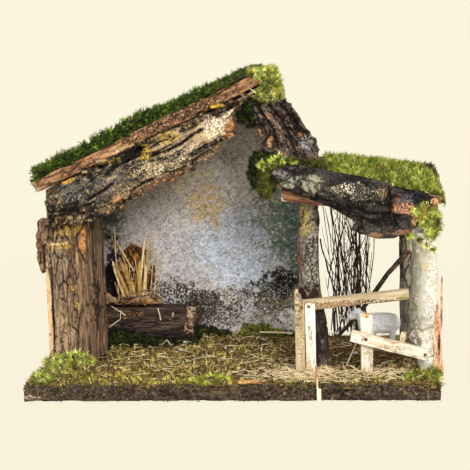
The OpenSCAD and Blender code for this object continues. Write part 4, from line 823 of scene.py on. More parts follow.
def moss_finish(name, dark, fresh, tip, dry, dry_share):
    """The leaves of one kind of moss: dark, fresh and pale ones, and dry ones in places."""
    made, tree, coords, shader = finish_of(name, 0.8)
    lot = kept_value(tree, "lot")
    spots = noise(tree, along(tree, coords, LEVEL, (18, 18, 18)), 1, 3, 0.6)
    fine = noise(tree, along(tree, coords, LEVEL, (3, 3, 3)), 1, 2, 0.6)
    shade = blend(tree, rise(tree, times(tree, lot, fine, "ADD"), 0.45, 1.15), dark, fresh)
    shade = blend(tree, rise(tree, lot, 0.78, 0.95), shade, tip)
    shade = blend(tree, rise(tree, spots, 0.62 - dry_share * 0.25, 0.72 - dry_share * 0.25), shade, dry)
    tufts = noise(tree, along(tree, coords, LEVEL, (7, 7, 7)), 1, 2, 0.5)
    # The cushion's hollows are darkened as painted shade; the tufts noise varies the tone at random.
    dim = times(tree, rise(tree, kept_value(tree, "lump"), 0.15, 0.85, 1.15, 0.45),
        rise(tree, tufts, 0.36, 0.62, 0.6, 1.25))
    shade = vec(tree, "SCALE", shade, dim)
    coat(tree, shader, shade, fine, 0.2)
    return made


def bed_finish(name, dark, fresh, area=6):
    """The dense, dark inside of a moss cushion."""
    made, tree, coords, shader = finish_of(name, 0.95)
    fine = noise(tree, along(tree, coords, LEVEL, (area, area, area)), 1, 5, 0.7)
    shade = blend(tree, rise(tree, fine, 0.38, 0.62), dark, fresh)
    coat(tree, shader, shade, fine, 1.2)
    return made


def moss(name, slot, nodes, cushion, leaf, voxel, count, size, shrink, lumps, lump_size, seed,
        lean=(0, 0, 0.6), hanging=1.0, side=0.0, places=()):
    """A CAD solid or lumps remade as a cushion with sprigs; count is sprigs per square mm."""
    piece = copy_of(name, *nodes)
    add_lumps(piece, places)
    skin_over(piece, voxel)
    grow(piece, mossy, sprigs=sprigs, count_per_m2=count / MM / MM, size=size, shrink=shrink * MM,
        lumps=lumps * MM, lump_size=lump_size * MM, side=side * MM, lean=lean, seed=seed, hanging=hanging,
        cushion=cushion, leaf=leaf)
    settle(piece)
    declare(piece, slot, *nodes)


roof_bed = bed_finish("roof_moss_bed", (24, 30, 8), (62, 72, 26))
roof_leaf = moss_finish("roof_moss_leaf", (30, 42, 8), (92, 120, 32), (148, 174, 72), (96, 84, 42), 0.12)
moss("roof_moss_grown", "dark_moss", ["main_roof_moss"], roof_bed, roof_leaf, 2.3, count=0.075, size=1.25,
    shrink=1.2, lumps=3.2, lump_size=13, lean=(0, -0.8, -0.5), seed=3)
clump_leaf = moss_finish("clump_moss_leaf", (40, 44, 16), (92, 96, 40), (140, 140, 66), (110, 90, 50), 0.2)
moss("gable_clump_grown", "dark_moss", ["gable_moss_clump"], roof_bed, clump_leaf, 1.2, count=0.5, size=0.8,
    shrink=1.0, lumps=1.0, lump_size=6, seed=5)

ridge_bed = bed_finish("ridge_moss_bed", (74, 76, 22), (128, 130, 54))
ridge_leaf = moss_finish("ridge_moss_leaf", (112, 118, 40), (196, 202, 96), (244, 246, 178),
    (206, 186, 104), 0.2)
moss("ridge_moss_grown", "bright_moss", ["ridge_moss_cap"], ridge_bed, ridge_leaf, 1.9, count=0.2, size=1.5,
    shrink=2.4, lumps=3.4, lump_size=9, seed=7)


def tuft(name, slot, cushion, leaf, places, count, size, lean, seed):
    """A loose tuft of moss: lumps at places with half sizes, in mm, grown together."""
    moss(name, slot, [], cushion, leaf, voxel=1.3, count=count, size=size, shrink=0.0, lumps=1.6,
        lump_size=7, lean=lean, seed=seed, places=places)


tuft("roof_moss_edge", "dark_moss", roof_bed, roof_leaf,
    flakes([(-206, -44, 226), (-190, -44, 234), (-173, -44, 242), (-156, -44, 249), (-140, -44, 257),
    (-123, -44, 265), (-106, -44, 275), (-89, -44, 283.5), (-70, -44, 288), (-50, -44, 295.5),
    (-34, -44, 304), (-16, -44, 309)], 42, (2, 4, 0.8), (7, 6, 3.6), 61), count=0.16, size=1.2,
    lean=(0, -0.3, 0.2), seed=63)
tuft("ridge_moss_front", "bright_moss", ridge_bed, ridge_leaf,
    [((46, -50, 314), (8, 5, 9)), ((40, -50, 321), (8, 4, 6)), ((28, -50, 324), (8, 3, 3)),
    ((50, -50, 307), (4, 4, 7)), ((42, -48, 325), (8, 4, 3)), ((38, -50, 304), (4, 3, 7)),
    ((30, -50, 301), (4, 3, 3))], count=0.26, size=1.7, lean=(0, -0.5, -0.3), seed=9)
# This near-black moss leaf is painted shade: it stands where moss lies in shadow, under the ridge, left of
# the half log and under the manger.
painted_shade_leaf = moss_finish("void_moss_leaf", (8, 10, 4), (24, 32, 10), (70, 84, 28), (26, 20, 12), 0.2)
# Painted shade: a dark tuft in the shadow under the ridge, left of the gable slab.
tuft("ridge_moss_hanging", "dark_moss", roof_bed, painted_shade_leaf,
    [((22, -40, 286), (9, 5, 10)), ((14, -38, 279), (7, 5, 6)), ((24, -42, 274), (4, 4, 5)),
    ((28, -44, 294), (7, 5, 6))], count=0.5, size=1.0, lean=(0, -0.3, -0.4), seed=15)


# The lean-to roof is a thin board with a thick mat of fresh moss on it. Half a log,
# grey with lichen, hides its front edge, and a peeled pole lies under that.
shed_board = bark_of("shed_board_wood", (0, 7, 0), (50, 6, 5), (150, 116, 84), (104, 78, 58), (48, 34, 26),
    (150, 116, 84), 0.7, [((196, 132, 90), (88, -66, 226), (10, 12, 8), 0.7, 2.4)])
carried_over("shed_roof_board", shed_board)
shed_bed = bed_finish("shed_moss_bed", (60, 62, 16), (108, 110, 40))
shed_leaf = moss_finish("shed_moss_leaf", (74, 86, 20), (166, 182, 68), (240, 242, 150), (166, 144, 70),
    0.2)
moss("shed_moss_grown", "bright_moss", ["shed_roof_moss"], shed_bed, shed_leaf, 1.9, count=0.11, size=1.5,
    shrink=0.6, lumps=3.2, lump_size=11, lean=(0, -0.5, 0.1), seed=11)
moss("shed_tuft_left_grown", "bright_moss", ["shed_moss_tuft_left"], shed_bed, clump_leaf, 1.1, count=0.5,
    size=0.9, shrink=1.0, lumps=1.2, lump_size=6, seed=13)
tuft_leaf = moss_finish("tuft_moss_leaf", (118, 130, 40), (206, 218, 100), (250, 250, 186), (204, 184, 100),
    0.15)
moss("shed_tuft_right_grown", "bright_moss", ["shed_moss_tuft_right"], shed_bed, tuft_leaf, 1.0, count=0.4,
    size=1.4, shrink=0.4, lumps=0.8, lump_size=5, seed=17)
tuft("shed_tuft_right_hanging", "bright_moss", shed_bed, tuft_leaf,
    [((197, -88, 181), (9, 5, 10)), ((205, -84, 176), (6, 5, 9)), ((203, -86, 166), (6, 4, 7)),
    ((188, -90, 186), (5, 3, 4))], count=0.3, size=1.6, lean=(0.3, -0.4, -0.2), seed=19)
tuft("shed_moss_corner", "bright_moss", shed_bed, clump_leaf,
    [((52, -68, 233), (10, 7, 5)), ((66, -66, 231), (10, 7, 5)), ((80, -64, 229), (10, 8, 5)),
    ((90, -60, 228), (8, 10, 5)), ((42, -66, 232), (6, 6, 6))], count=0.28, size=1.4, lean=(0, -0.4, 0.3),
    seed=25)
tuft("shed_moss_yellow", "bright_moss", shed_bed, tuft_leaf,
    [((46, -72, 234), (5, 3, 4)), ((54, -73, 238), (4, 3, 4)), ((35, -72, 232), (4, 3, 4)),
    ((68, -72, 231), (5, 3, 3))], count=0.4, size=1.1, lean=(0, -0.5, 0.2), seed=27)
brown_leaf = moss_finish("brown_moss_leaf", (46, 36, 24), (110, 96, 58), (156, 150, 90), (84, 66, 44), 0.3)
tuft("shed_moss_end", "bright_moss", shed_bed, brown_leaf,
    [((210, 84, 207), (5, 12, 5)), ((213, 56, 205), (4, 14, 5)), ((214, 24, 202.5), (3.2, 14, 4.5))],
    count=0.3, size=1.5, lean=(0.2, -0.5, 0.2), seed=29)
# Painted shade: a dark tuft in the shadowed gap left of the half log, under the gable slab.
tuft("shed_moss_hollow", "dark_moss", roof_bed, painted_shade_leaf,
    [((33, -52, 240), (9, 4, 5)), ((43, -53, 238), (8, 4, 4)), ((26, -56, 232), (5, 5, 7)),
    ((24, -58, 222), (5, 5, 8)), ((26, -60, 213), (4, 4, 6))], count=0.4, size=1.0, lean=(0, -0.4, -0.2),
    seed=31)

HALF_LOG = (0, 12.5, 0)
half_log_finish = bark_of("half_log_bark", HALF_LOG, (12, 14, 12), (82, 76, 70), (37, 33, 32), (13, 11, 11),
    (180, 132, 92), 0.5, [((156, 152, 130), (85, -92, 213), (13, 14, 11), 0.75, 3),
    ((136, 130, 132), (54, -90, 223), (14, 14, 5), 0.6, 3, 0.5, -14),
    ((176, 174, 158), (62, -90, 214), (14, 14, 5), 0.7, 2.6, 0.4, 20),
    ((24, 20, 20), (86, -92, 228), (26, 14, 5), 0.75, 3, 0.5, 12),
    ((30, 26, 22), (118, -92, 197), (34, 14, 12), 0.5, 2.6),
    ((30, 26, 26), (128, -92, 219), (22, 14, 5), 0.7, 3, 0.5, 16),
    ((240, 230, 204), (118, -94, 209), (20, 12, 6), 0.36, 1.6, 0.6, 14),
    ((180, 170, 146), (136, -92, 202), (26, 12, 10), 0.26, 1.6),
    ((150, 116, 66), (154, -92, 204), (8, 12, 8), 0.35, 2),
    ((202, 148, 110), (176, -90, 190), (13, 12, 9), 0.55, 2),
    ((120, 74, 58), (172, -90, 196), (10, 12, 6), 0.4, 2),
    ((228, 172, 126), (185, -88, 178), (5, 12, 10), 0.5, 2.2),
    ((20, 17, 18), (154, -88, 176), (18, 12, 8), 0.75, 3),
    ((96, 100, 112), (184, -90, 202), (22, 12, 7), 0.55, 2.6, 0.5, 14),
    ((222, 160, 112), (208, -82, 192), (5, 12, 5), 0.8, 2.4),
    ((142, 108, 84), (150, -84, 162), (40, 12, 3.4), 0.7, 3, 0.5, 6)], bump=0.45, fleck=0.95,
    stroke=(1.7, 4.5, 4.5))
weather("half_log_weathered", "dark_bark", half_log_finish, ["shed_front_half_log"], 0.85, HALF_LOG,
    (24, 16, 16), crack=2.6, width=0.14, lump=2.4, grit=1.4, wobble=1.2, swell=0.6, splinter=3,
    lumps=[((158, -86, 164), (24, 7, 8)), ((177, -86, 166), (8, 7, 10)), ((138, -86, 169), (16, 7, 8)),
    ((203, -86, 191), (8, 5, 4)), ((182, -89, 178), (5, 5, 9)), ((60, -90, 226), (16, 5, 7)),
    ((100, -92, 214), (16, 4, 7)), ((168, -90, 196), (12, 4, 5))],
    furrows=[[(161, 209), (162, 198), (160, 188)],
    [(110, 192), (128, 189), (141, 184), (156, 184), (172, 181)], [(166, 181), (168, 171)],
    [(176, 206), (196, 198)], [(88, 200), (104, 196), (118, 190)]], furrow=1.6, gouge=2.6)
pole_finish = bark_of(
    "pole_wood", HALF_LOG, (26, 6, 6), (172, 130, 98), (126, 84, 62), (60, 36, 26), (158, 96, 72), 0.6,
    [((236, 220, 190), (53, -66, 196), (6, 12, 6), 0.6, 2.5)])
weather("pole_weathered", "roof_wood", pole_finish, ["shed_rafter_pole"], 1.0, HALF_LOG, (26, 6, 6),
    crack=0.6, lump=0.5)


# Two birch posts carry the half log: the middle one is grey, black and mossy, the
# right one white, with a strip of bark peeling off its outer side. A third post
# stands at the back right corner, and a thin branch leans across to it.
middle_finish = bark_of("middle_birch_bark", UPRIGHT, (9, 10, 10), (136, 128, 118), (74, 64, 58),
    (20, 15, 14), (190, 160, 120), 0.5, [((150, 138, 84), (76, -58, 176), (8, 12, 26), 0.6, 2.2),
    ((184, 168, 100), (78, -58, 168), (6, 12, 14), 0.4, 1.8),
    ((44, 34, 32), (92, -58, 150), (4, 20, 60), 0.85, 4),
    ((38, 36, 38), (82, -58, 146), (7, 12, 12), 0.55, 2.4),
    ((100, 68, 54), (69, -56, 136), (5, 14, 18), 0.6, 2.2),
    ((150, 98, 72), (70, -56, 128), (3, 14, 9), 0.45, 2),
    ((196, 190, 184), (84, -58, 150), (6, 12, 22), 0.3, 2),
    ((164, 160, 148), (82, -58, 118), (9, 12, 14), 0.45, 2.2),
    ((52, 36, 31), (80, -58, 96), (16, 20, 9), 0.85, 4),
    ((47, 36, 32), (84, -58, 52), (30, 30, 42), 0.9, 6),
    ((84, 72, 66), (92, -58, 56), (8, 16, 40), 0.4, 2.6),
    ((214, 210, 204), (68, -58, 112), (2, 12, 8), 0.7, 2)], bump=0.4, fleck=0.85, stroke=(3.5, 2, 2))
weather("middle_post_weathered", "birch_bark", middle_finish, ["middle_birch_post"], 0.9, UPRIGHT,
    (22, 12, 12), crack=1.6, width=0.1, lump=1.8, grit=0.9, wobble=0.7, swell=1.2)
birch_finish = bark_of("right_birch_bark", UPRIGHT, (3, 12, 12), (250, 247, 238), (208, 202, 188),
    # The first three patches are painted shade: the post greyer down its left side.
    (150, 138, 124), (220, 200, 160), 0.35, [((192, 190, 174), (190, -84, 116), (10, 20, 64), 0.95, 6, 0.2),
    ((146, 146, 132), (184, -84, 116), (9, 20, 60), 0.95, 6, 0.25),
    ((126, 120, 106), (180, -84, 112), (8, 18, 60), 0.6, 2.8),
    ((126, 114, 102), (182, -84, 62), (13, 18, 26), 0.7, 3),
    ((100, 90, 80), (178, -84, 66), (8, 18, 26), 0.45, 2.4),
    ((226, 190, 104), (198, -84, 128), (4, 10, 5), 0.6, 1.6),
    ((206, 214, 222), (200, -84, 84), (8, 14, 24), 0.5, 3),
    ((158, 158, 92), (192, -84, 152), (16, 14, 10), 0.45, 2),
    ((74, 64, 58), (196, -84, 76), (9, 14, 5), 0.45, 2),
    ((216, 182, 112), (200, -84, 92), (4, 14, 10), 0.4, 1.8),
    ((184, 174, 156), (194, -84, 110), (12, 14, 60), 0.34, 2)], bump=0.3, roughness=0.85, fleck=0.3,
    stroke=(1.2, 7, 7))
weather("right_post_weathered", "birch_bark", birch_finish, ["right_birch_post"], 0.95, UPRIGHT,
    (14, 30, 30), crack=0.5, width=0.04, lump=1.8, grit=0.6, wobble=0.6, swell=0.4,
    furrows=[[(176, 60), (184, 66), (192, 70)], [(178, 80), (186, 84)], [(182, 150), (194, 146)],
    [(192, 62), (204, 66)]], furrow=0.9, gouge=1.0)
tuft("right_post_moss", "bright_moss", shed_bed, tuft_leaf,
    [((180, -96, 162), (4, 2, 2)), ((190, -98, 158), (4, 2, 3)), ((197, -98, 153), (3, 2, 3)),
    ((203, -96, 148), (4, 2, 2))], count=0.3, size=1.1, lean=(0.2, -0.6, -0.3), seed=33)
peel_finish = bark_of("peeled_strip", UPRIGHT, (14, 4, 4), (238, 186, 146), (204, 140, 98), (84, 44, 28),
    (230, 184, 144), 0.6, [((244, 222, 190), (205, -80, 40), (3, 10, 40), 0.5, 3),
    ((150, 84, 52), (210, -80, 70), (4, 10, 30), 0.4, 2),
    ((84, 42, 28), (210, -80, 48), (1.6, 10, 20), 0.8, 3)], bump=0.3, roughness=0.8, fleck=0.7,
    stroke=(6, 1.4, 1.4))
weather("peeled_strip_weathered", "peeled_bark", peel_finish, ["right_post_peeled_bark"], 0.5, UPRIGHT,
    (20, 5, 5), crack=0.4, lump=0.3)
PEEL_RINGS = 17
PEEL_EDGE = ((-1, 0.2), (-0.4, -1.0), (0.3, -1.3), (1, -0.5), (1.05, 0.3), (0.3, -0.3), (-0.4, 0),
    (-0.95, 1.0))
shape = bmesh.new()
rings = []
for n in range(PEEL_RINGS):
    t = n / (PEEL_RINGS - 1)
    mid_at = Vector((209.4 - 1.2 * math.sin(2.4 * t), -78.5 + 2.4 * t, 17.6 + 74 * t))
    wide = (1 - t) ** 0.6 * 4.6 * (1 + 0.16 * math.sin(19 * t)) + 0.5
    rings.append([shape.verts.new((mid_at + Vector((x * wide, y - 0.12 * wide * x,
        0.5 * math.sin(7 * x + 5 * t)))) * MM) for x, y in PEEL_EDGE])
for a, b in zip(rings, rings[1:]):
    for n in range(len(PEEL_EDGE)):
        k = (n + 1) % len(PEEL_EDGE)
        shape.faces.new((a[n], a[k], b[k], b[n]))
shape.faces.new(rings[0])
shape.faces.new(rings[-1])
bmesh.ops.recalc_face_normals(shape, faces=shape.faces)
curled = made_of(shape, "peeled_strip_curled")
curled.data.materials.append(peel_finish)
round_off = curled.modifiers.new("round_off", "SUBSURF")
round_off.levels = round_off.render_levels = 2
settle(curled)
declare(curled, "peeled_bark", "right_post_peeled_bark")
rear_finish = bark_of("rear_post_bark", UPRIGHT, (18, 7, 7), (146, 138, 124), (94, 86, 76), (30, 24, 22),
    (150, 116, 80), 0.6, [((150, 156, 140), (188, 100, 150), (10, 20, 50), 0.5, 3),
    ((34, 28, 26), (176, 90, 110), (4, 20, 80), 0.75, 3),
    ((200, 184, 148), (190, 100, 112), (8, 20, 16), 0.6, 3)])
weather("rear_post_weathered", "post_bark", rear_finish, ["rear_post"], 1.1, UPRIGHT, (20, 7, 7), crack=1.6,
    width=0.14, lump=0.9)
LEANER = (0, -50, 0)
branch_finish = bark_of("leaning_branch_bark", LEANER, (14, 3, 3), (112, 92, 78), (70, 54, 46),
    (26, 20, 18), (150, 120, 84), 0.6)
weather("leaning_branch_weathered", "twig_bark", branch_finish, ["leaning_branch"], 0.5, LEANER, (14, 3, 3),
    crack=0.3, lump=0.3, grit=0.2, swell=1.5)


# The opening beside the middle post is filled with thin birch twigs, stuck upright
# in the moss along the back of the board. They are dark and knotted, and fork and
# cross as they rise.
def runs_of(node):
    """The two ends of every separate stick in a CAD node, lowest end first."""
    shape = bmesh.new()
    shape.from_mesh(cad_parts[node].data)
    bmesh.ops.remove_doubles(shape, verts=shape.verts, dist=SAME_PLACE)
    known, runs = set(), []
    for vert in shape.verts:
        if vert in known:
            continue
        island, edge = [], [vert]
        known.add(vert)
        while edge:
            this = edge.pop()
            island.append(this.co.copy())
            for link in this.link_edges:
                other = link.other_vert(this)
                if other not in known:
                    known.add(other)
                    edge.append(other)
        middle = sum(island, Vector()) / len(island)
        first = max(island, key=lambda c: (c - middle).length)
        last = max(island, key=lambda c: (c - first).length)
        ends = []
        for tip in (first, last):
            near = sorted(island, key=lambda c: (c - tip).length)[:5]
            ends.append(sum(near, Vector()) / len(near))
        runs.append(sorted(ends, key=lambda c: (round(c.z, 4), c.x)))
    shape.free()
    return sorted(runs, key=lambda r: (round(r[0].y, 4), r[0].x))


tubes, given, result = group_of("tubes_on_paths", "GeometryNodeTree",
    {"Geometry": ("Geometry", None), "Sides": ("Int", 5), "Finish": ("Material", None)},
    {"Geometry": "Geometry"})
lot = chance(tubes, 0, 1, 3)
paths = mark(tubes, given[0], "lot", lot, "CURVE")
ring = wire(tubes, "GeometryNodeCurvePrimitiveCircle",
    {"Resolution": given["Sides"], "Radius": 1}).outputs[0]
made = wire(tubes, "GeometryNodeCurveToMesh", {"Curve": paths, "Profile Curve": ring,
    "Scale": wire(tubes, "GeometryNodeInputRadius").outputs[0], "Fill Caps": True}).outputs[0]
made = wire(tubes, "GeometryNodeSetShadeSmooth", {"Geometry": made}).outputs[0]
made = wire(tubes, "GeometryNodeRealizeInstances", {"Geometry": made}).outputs[0]
made = wire(tubes, "GeometryNodeSetMaterial", {"Geometry": made, "Material": given["Finish"]}).outputs[0]
tubes.links.new(made, result[0])


def tubes_of(name, slot, finish, paths, sides, *nodes):
    """One piece of many thin tubes. A path is a list of places and radii, in metres."""
    data = bpy.data.curves.new(name + "_paths", "CURVE")
    data.dimensions = "3D"
    for path in paths:
        line = data.splines.new("POLY")
        line.points.add(len(path) - 1)
        for point, (spot, radius) in zip(line.points, path):
            point.co = (*spot, 1)
            point.radius = radius
    holder = bpy.data.objects.new(name + "_paths", data)
    bpy.context.collection.objects.link(holder)
    grow(holder, tubes, sides=sides, finish=finish)
    graph = bpy.context.evaluated_depsgraph_get()
    shape = bpy.data.meshes.new_from_object(holder.evaluated_get(graph))
    bpy.data.objects.remove(holder)
    piece = bpy.data.objects.new(name, shape)
    bpy.context.collection.objects.link(piece)
    declare(piece, slot, *nodes)


def lot_finish(name, tones_of, roughness=0.8):
    """A finish for many small sticks, each with its own lot of a few colours."""
    made, tree, coords, shader = finish_of(name, roughness)
    fine = noise(tree, along(tree, coords, LEVEL, (4, 4, 4)), 1, 3, 0.6)
    pick = times(tree, kept_value(tree, "lot"), times(tree, times(tree, fine, 0.5, "SUBTRACT"), 0.8), "ADD")
    ramp = wire(tree, "ShaderNodeValToRGB", {0: pick})
    stops = ramp.color_ramp.elements
    while len(stops) < len(tones_of):
        stops.new(1)
    for n, colour in enumerate(tones_of):
        stops[n].position = n / (len(tones_of) - 1)
        stops[n].color = tone(*colour)
    coat(tree, shader, ramp.outputs[0], fine, 0.12)
    return made


twig_finish = lot_finish("birch_twigs", [(38, 28, 26), (64, 48, 44), (46, 34, 34), (88, 66, 58)])
STEM_POINTS = 10
SHOOT_POINTS = 6
LEG_POINTS = 5
SCREEN_Y = 103
WINDOW_X = (87 * MM, 156 * MM)
WINDOW_Y = (98.5 * MM, 107.2 * MM)
dice = random.Random(21)
paths = []
for foot, head in runs_of("twig_screen"):
    stem = []
    sway = dice.uniform(-4, 4) * MM
    for n in range(STEM_POINTS):
        t = n / (STEM_POINTS - 1)
        spot = foot.lerp(head, t) + Vector((sway * math.sin(math.pi * t)
            + dice.uniform(-1.2, 1.2) * MM * (0 < t < 1), dice.uniform(-0.5, 0.5) * MM, 0))
        knot = 1.5 if dice.random() < 0.2 else 1
        stem.append((spot, (0.62 - 0.3 * t) * MM * knot))
    paths.append(stem)
    for _ in range(dice.choice((1, 2, 3))):
        t = dice.uniform(0.1, 0.75)
        spot = stem[int(t * (STEM_POINTS - 1))][0]
        lean = math.radians(dice.choice((-1, 1)) * dice.uniform(12, 34))
        length = dice.uniform(22, 62) * MM
        shoot = []
        for k in range(SHOOT_POINTS):
            u = k / (SHOOT_POINTS - 1)
            place = spot + Vector((math.sin(lean) * u * (1 - 0.35 * u), 0.03 * math.sin(9 * t + k),
                math.cos(lean) * u)) * length
            place.x += dice.uniform(-0.6, 0.6) * MM
            place.x = min(max(place.x, WINDOW_X[0]), WINDOW_X[1])
            place.y = min(max(place.y, WINDOW_Y[0]), WINDOW_Y[1])
            place.z = min(place.z, head.z)
            knot = 1.7 if dice.random() < 0.22 else 1
            shoot.append((place, (0.38 - 0.18 * u) * MM * knot))
        paths.append(shoot)
for thick, corners in (
        (1.1, [(103, 12), (102, 45), (110, 68), (107, 115), (102, 159), (100, 190)]),
        (1.0, [(110, 40), (106, 61), (95, 98), (86, 136)]),
        (0.9, [(136, 12), (124, 68), (109, 127), (104, 150)]),
        (1.5, [(130, 12), (131, 68), (129, 143), (131, 200)]),
        (1.3, [(127, 14), (134, 90), (133, 150), (128, 190)]),
        (0.8, [(138, 12), (140, 80), (144, 135), (143, 170)]),
        (0.7, [(103, 14), (115, 39), (126, 60)]),
        (0.6, [(103, 20), (123, 28), (132, 24)]),
        (0.7, [(96, 70), (106, 130), (98, 176)]),
        (0.6, [(112, 60), (124, 120), (140, 168)]),
        (0.6, [(140, 66), (128, 120), (112, 176)]),
        (0.5, [(120, 84), (140, 130), (149, 150)]),
        (0.5, [(134, 96), (116, 140), (100, 168)]),
        (0.5, [(98, 96), (112, 128), (124, 184)]),
        (0.6, [(146, 60), (140, 100), (146, 128)]),
        (0.5, [(110, 100), (126, 124), (132, 160)])):
    stem = []
    for (x, z), (x2, z2) in zip(corners, corners[1:]):
        for n in range(LEG_POINTS):
            u = n / LEG_POINTS
            spot = Vector((x + (x2 - x) * u + dice.uniform(-0.7, 0.7), SCREEN_Y + dice.uniform(-0.6, 0.6),
                z + (z2 - z) * u)) * MM
            knot = dice.choice((0.8, 0.9, 1, 1.3))
            stem.append((spot, thick * knot * MM * (1 - 0.1 * len(stem) / LEG_POINTS)))
    paths.append(stem)
tubes_of("twig_screen_grown", "twig_bark", twig_finish, paths, 5, "twig_screen")


# The fence is split from pale softwood, bark still on one face of the upper rail.
# Slats and rails are tacked to each other with small brads.
PALE = (246, 234, 212)
CREAMY = (214, 196, 166)
DEEP_GRAIN = (176, 148, 112)
CUT_END = (232, 212, 176)


def slat(name, node, finish, turn, patches, high=PALE, body=CREAMY, voxel=0.55, cell=(30, 3, 3),
         crack=0.4, width=0.08, lump=0.4, grit=0.15):
    """One split slat or rail: its patches, colours and mesh size, and how deep its grain is torn."""
    wood = bark_of(finish, turn, (34, 2.6, 2.6), high, body, DEEP_GRAIN, CUT_END, 0.22, patches, bump=0.2,
                   roughness=0.8, fleck=0.1)
    weather(name, "split_wood", wood, [node], voxel, turn, cell, crack, width, lump, grit)


slat("fence_tall_split", "fence_post_tall", "split_tall", UPRIGHT,
    [((120, 100, 70), (69, -75, 84), (6, 6, 26), 0.5, 3),
    ((150, 140, 90), (70, -75, 50), (6, 6, 20), 0.35, 2.4)], (218, 202, 168), (186, 168, 130))
slat("fence_front_split", "fence_post_front", "split_front", UPRIGHT,
    [((206, 150, 92), (80, -75, 90), (5, 6, 3), 0.6, 1.8),
    ((224, 178, 124), (76, -75, 28), (3, 6, 10), 0.4, 2),
    ((176, 132, 88), (79, -75, 66), (1, 6, 6), 0.7, 2)], (255, 252, 244), (240, 232, 216))
slat("fence_middle_split", "fence_post_middle", "split_middle", UPRIGHT,
    [((190, 130, 60), (137, -75, 77), (5, 6, 3), 0.7, 1.8),
    ((196, 182, 152), (138, -75, 46), (7, 6, 16), 0.4, 3)], (252, 247, 236), (232, 222, 204))
slat("fence_upper_split", "fence_upper_rail", "split_rail", (0, -5.8, 0),
    [((130, 98, 66), (122, -69, 87), (50, 8, 5), 0.62, 1.6),
    ((66, 48, 36), (144, -69, 90), (30, 8, 3), 0.55, 1.6),
    ((156, 120, 84), (108, -69, 87), (30, 8, 5), 0.45, 1.8),
    ((128, 130, 56), (176, -69, 92), (8, 8, 4), 0.75, 1.6)], (216, 198, 170), (180, 158, 126), 0.6,
    (36, 3, 3), crack=0.6, width=0.1, lump=0.5, grit=0.2)
slat("fence_lower_split", "fence_lower_rail", "split_lower", (0, 13, 0),
    [((176, 158, 124), (164, -80, 44), (28, 12, 5), 0.4, 2.4),
    ((254, 250, 240), (126, -76, 55), (9, 8, 7), 0.8, 3)], (250, 242, 226), (230, 216, 192),
    cell=(36, 3, 3))
slat("fence_stub_split", "fence_stub_slat", "split_stub", UPRIGHT, [
    ((226, 160, 96), (169, -80, 52), (3, 6, 10), 0.8, 3)], voxel=0.45, cell=(20, 3, 3))
slat("front_peg_split", "front_edge_peg", "split_peg", UPRIGHT,
    [((168, 104, 56), (88, -122, 31), (5, 5, 10), 0.9, 3),
    ((214, 176, 120), (88, -122, 20), (4, 5, 4), 0.5, 2)], (252, 244, 222), (230, 212, 176), 0.45,
    (20, 2, 2), crack=0.3, lump=0.3, grit=0.12)


# The manger is a short log, its top hewn flat, with a bark trough on it that holds
# a handful of reeds against a red flake of bark. Its right end is broken and pale.
manger_finish = bark_of("manger_wood", LEVEL, (46, 4, 4), (104, 84, 74), (62, 46, 41), (24, 17, 16),
    # The first patch is painted shade: the log darkened along its underside, where it sits on the moss.
    (176, 144, 118), 0.85, [((44, 34, 38), (-110, 70, 22), (80, 30, 12), 0.6, 5),
    ((206, 176, 146), (-57, 80, 46), (9, 24, 13), 0.7, 2.2),
    ((196, 160, 130), (-60, 66, 34), (11, 20, 10), 0.4, 2.2),
    ((150, 122, 58), (-126, 64, 52), (26, 10, 7), 0.4, 2.4),
    ((232, 226, 214), (-80, 63, 52), (2, 8, 8), 0.7, 2),
    ((232, 226, 214), (-127, 62, 58), (7, 8, 3), 0.5, 2)])
weather("manger_log_worn", "manger_wood", manger_finish, ["manger_log"], 1.1, LEVEL, (40, 4, 5), crack=1.8,
    width=0.16, lump=1.6, grit=0.8, wobble=0.5, splinter=11)
rack_finish = bark_of("rack_bark", LEVEL, (16, 4, 4), (214, 170, 126), (150, 108, 74), (52, 34, 24),
    (204, 156, 112), 0.7, [((230, 204, 166), (-116, 66, 72), (20, 8, 5), 0.4, 2),
    ((60, 42, 30), (-124, 66, 61), (26, 8, 4), 0.6, 2.2), ((74, 66, 44), (-97, 66, 72), (9, 12, 9), 0.6, 2),
    ((56, 42, 32), (-142, 66, 70), (6, 12, 9), 0.6, 2.4),
    ((226, 168, 96), (-106, 66, 64), (6, 8, 4), 0.5, 2)])
weather("rack_bark_weathered", "rust_bark", rack_finish, ["hay_rack_bark"], 0.6, (0, -8, 0), (12, 4, 4),
    crack=1.6, width=0.2, lump=1.6, grit=1.0, wobble=0.8, lumps_only=True,
    lumps=[((-142, 72, 62.6), (7, 6, 5)), ((-134, 72, 64), (9, 8, 7)), ((-124, 72, 66), (11, 9, 9)),
    ((-113, 72, 67.4), (11, 9, 10)), ((-103, 72, 66), (9, 8, 8)), ((-97, 72, 64.4), (6, 6, 6)),
    ((-126, 65, 74), (12, 2, 2)), ((-110, 64, 77.5), (10, 2, 2)), ((-106, 65, 66), (8, 3, 4)),
    ((-130, 64, 63), (9, 2.4, 2.4))], furrows=[[(-136, 66), (-122, 70), (-106, 72)]], furrow=1.2, gouge=2)
flake_finish = bark_of(
    "flake_bark", UPRIGHT, (16, 5, 5), (206, 144, 84), (128, 84, 48), (36, 20, 12), (164, 116, 72), 0.7,
    # This patch is painted shade: the flake darkened in its middle, behind the reeds.
    [((66, 34, 18), (-128, 104, 96), (14, 8, 12), 0.5, 2.4)])
weather("rack_flake_weathered", "rust_bark", flake_finish, ["hay_rack_back"], 0.7, UPRIGHT, (16, 5, 5),
    crack=1.2, width=0.2, lump=1.8, grit=1.0, splinter=14,
    lumps=flakes([(-144, 104, 62), (-142, 104, 100), (-138, 104, 112)], 5, (2, 1, 3), (5, 2, 10), 17)
    + flakes([(-112, 104, 62), (-108, 104, 96)], 4, (2, 1, 3), (5, 2, 10), 18))

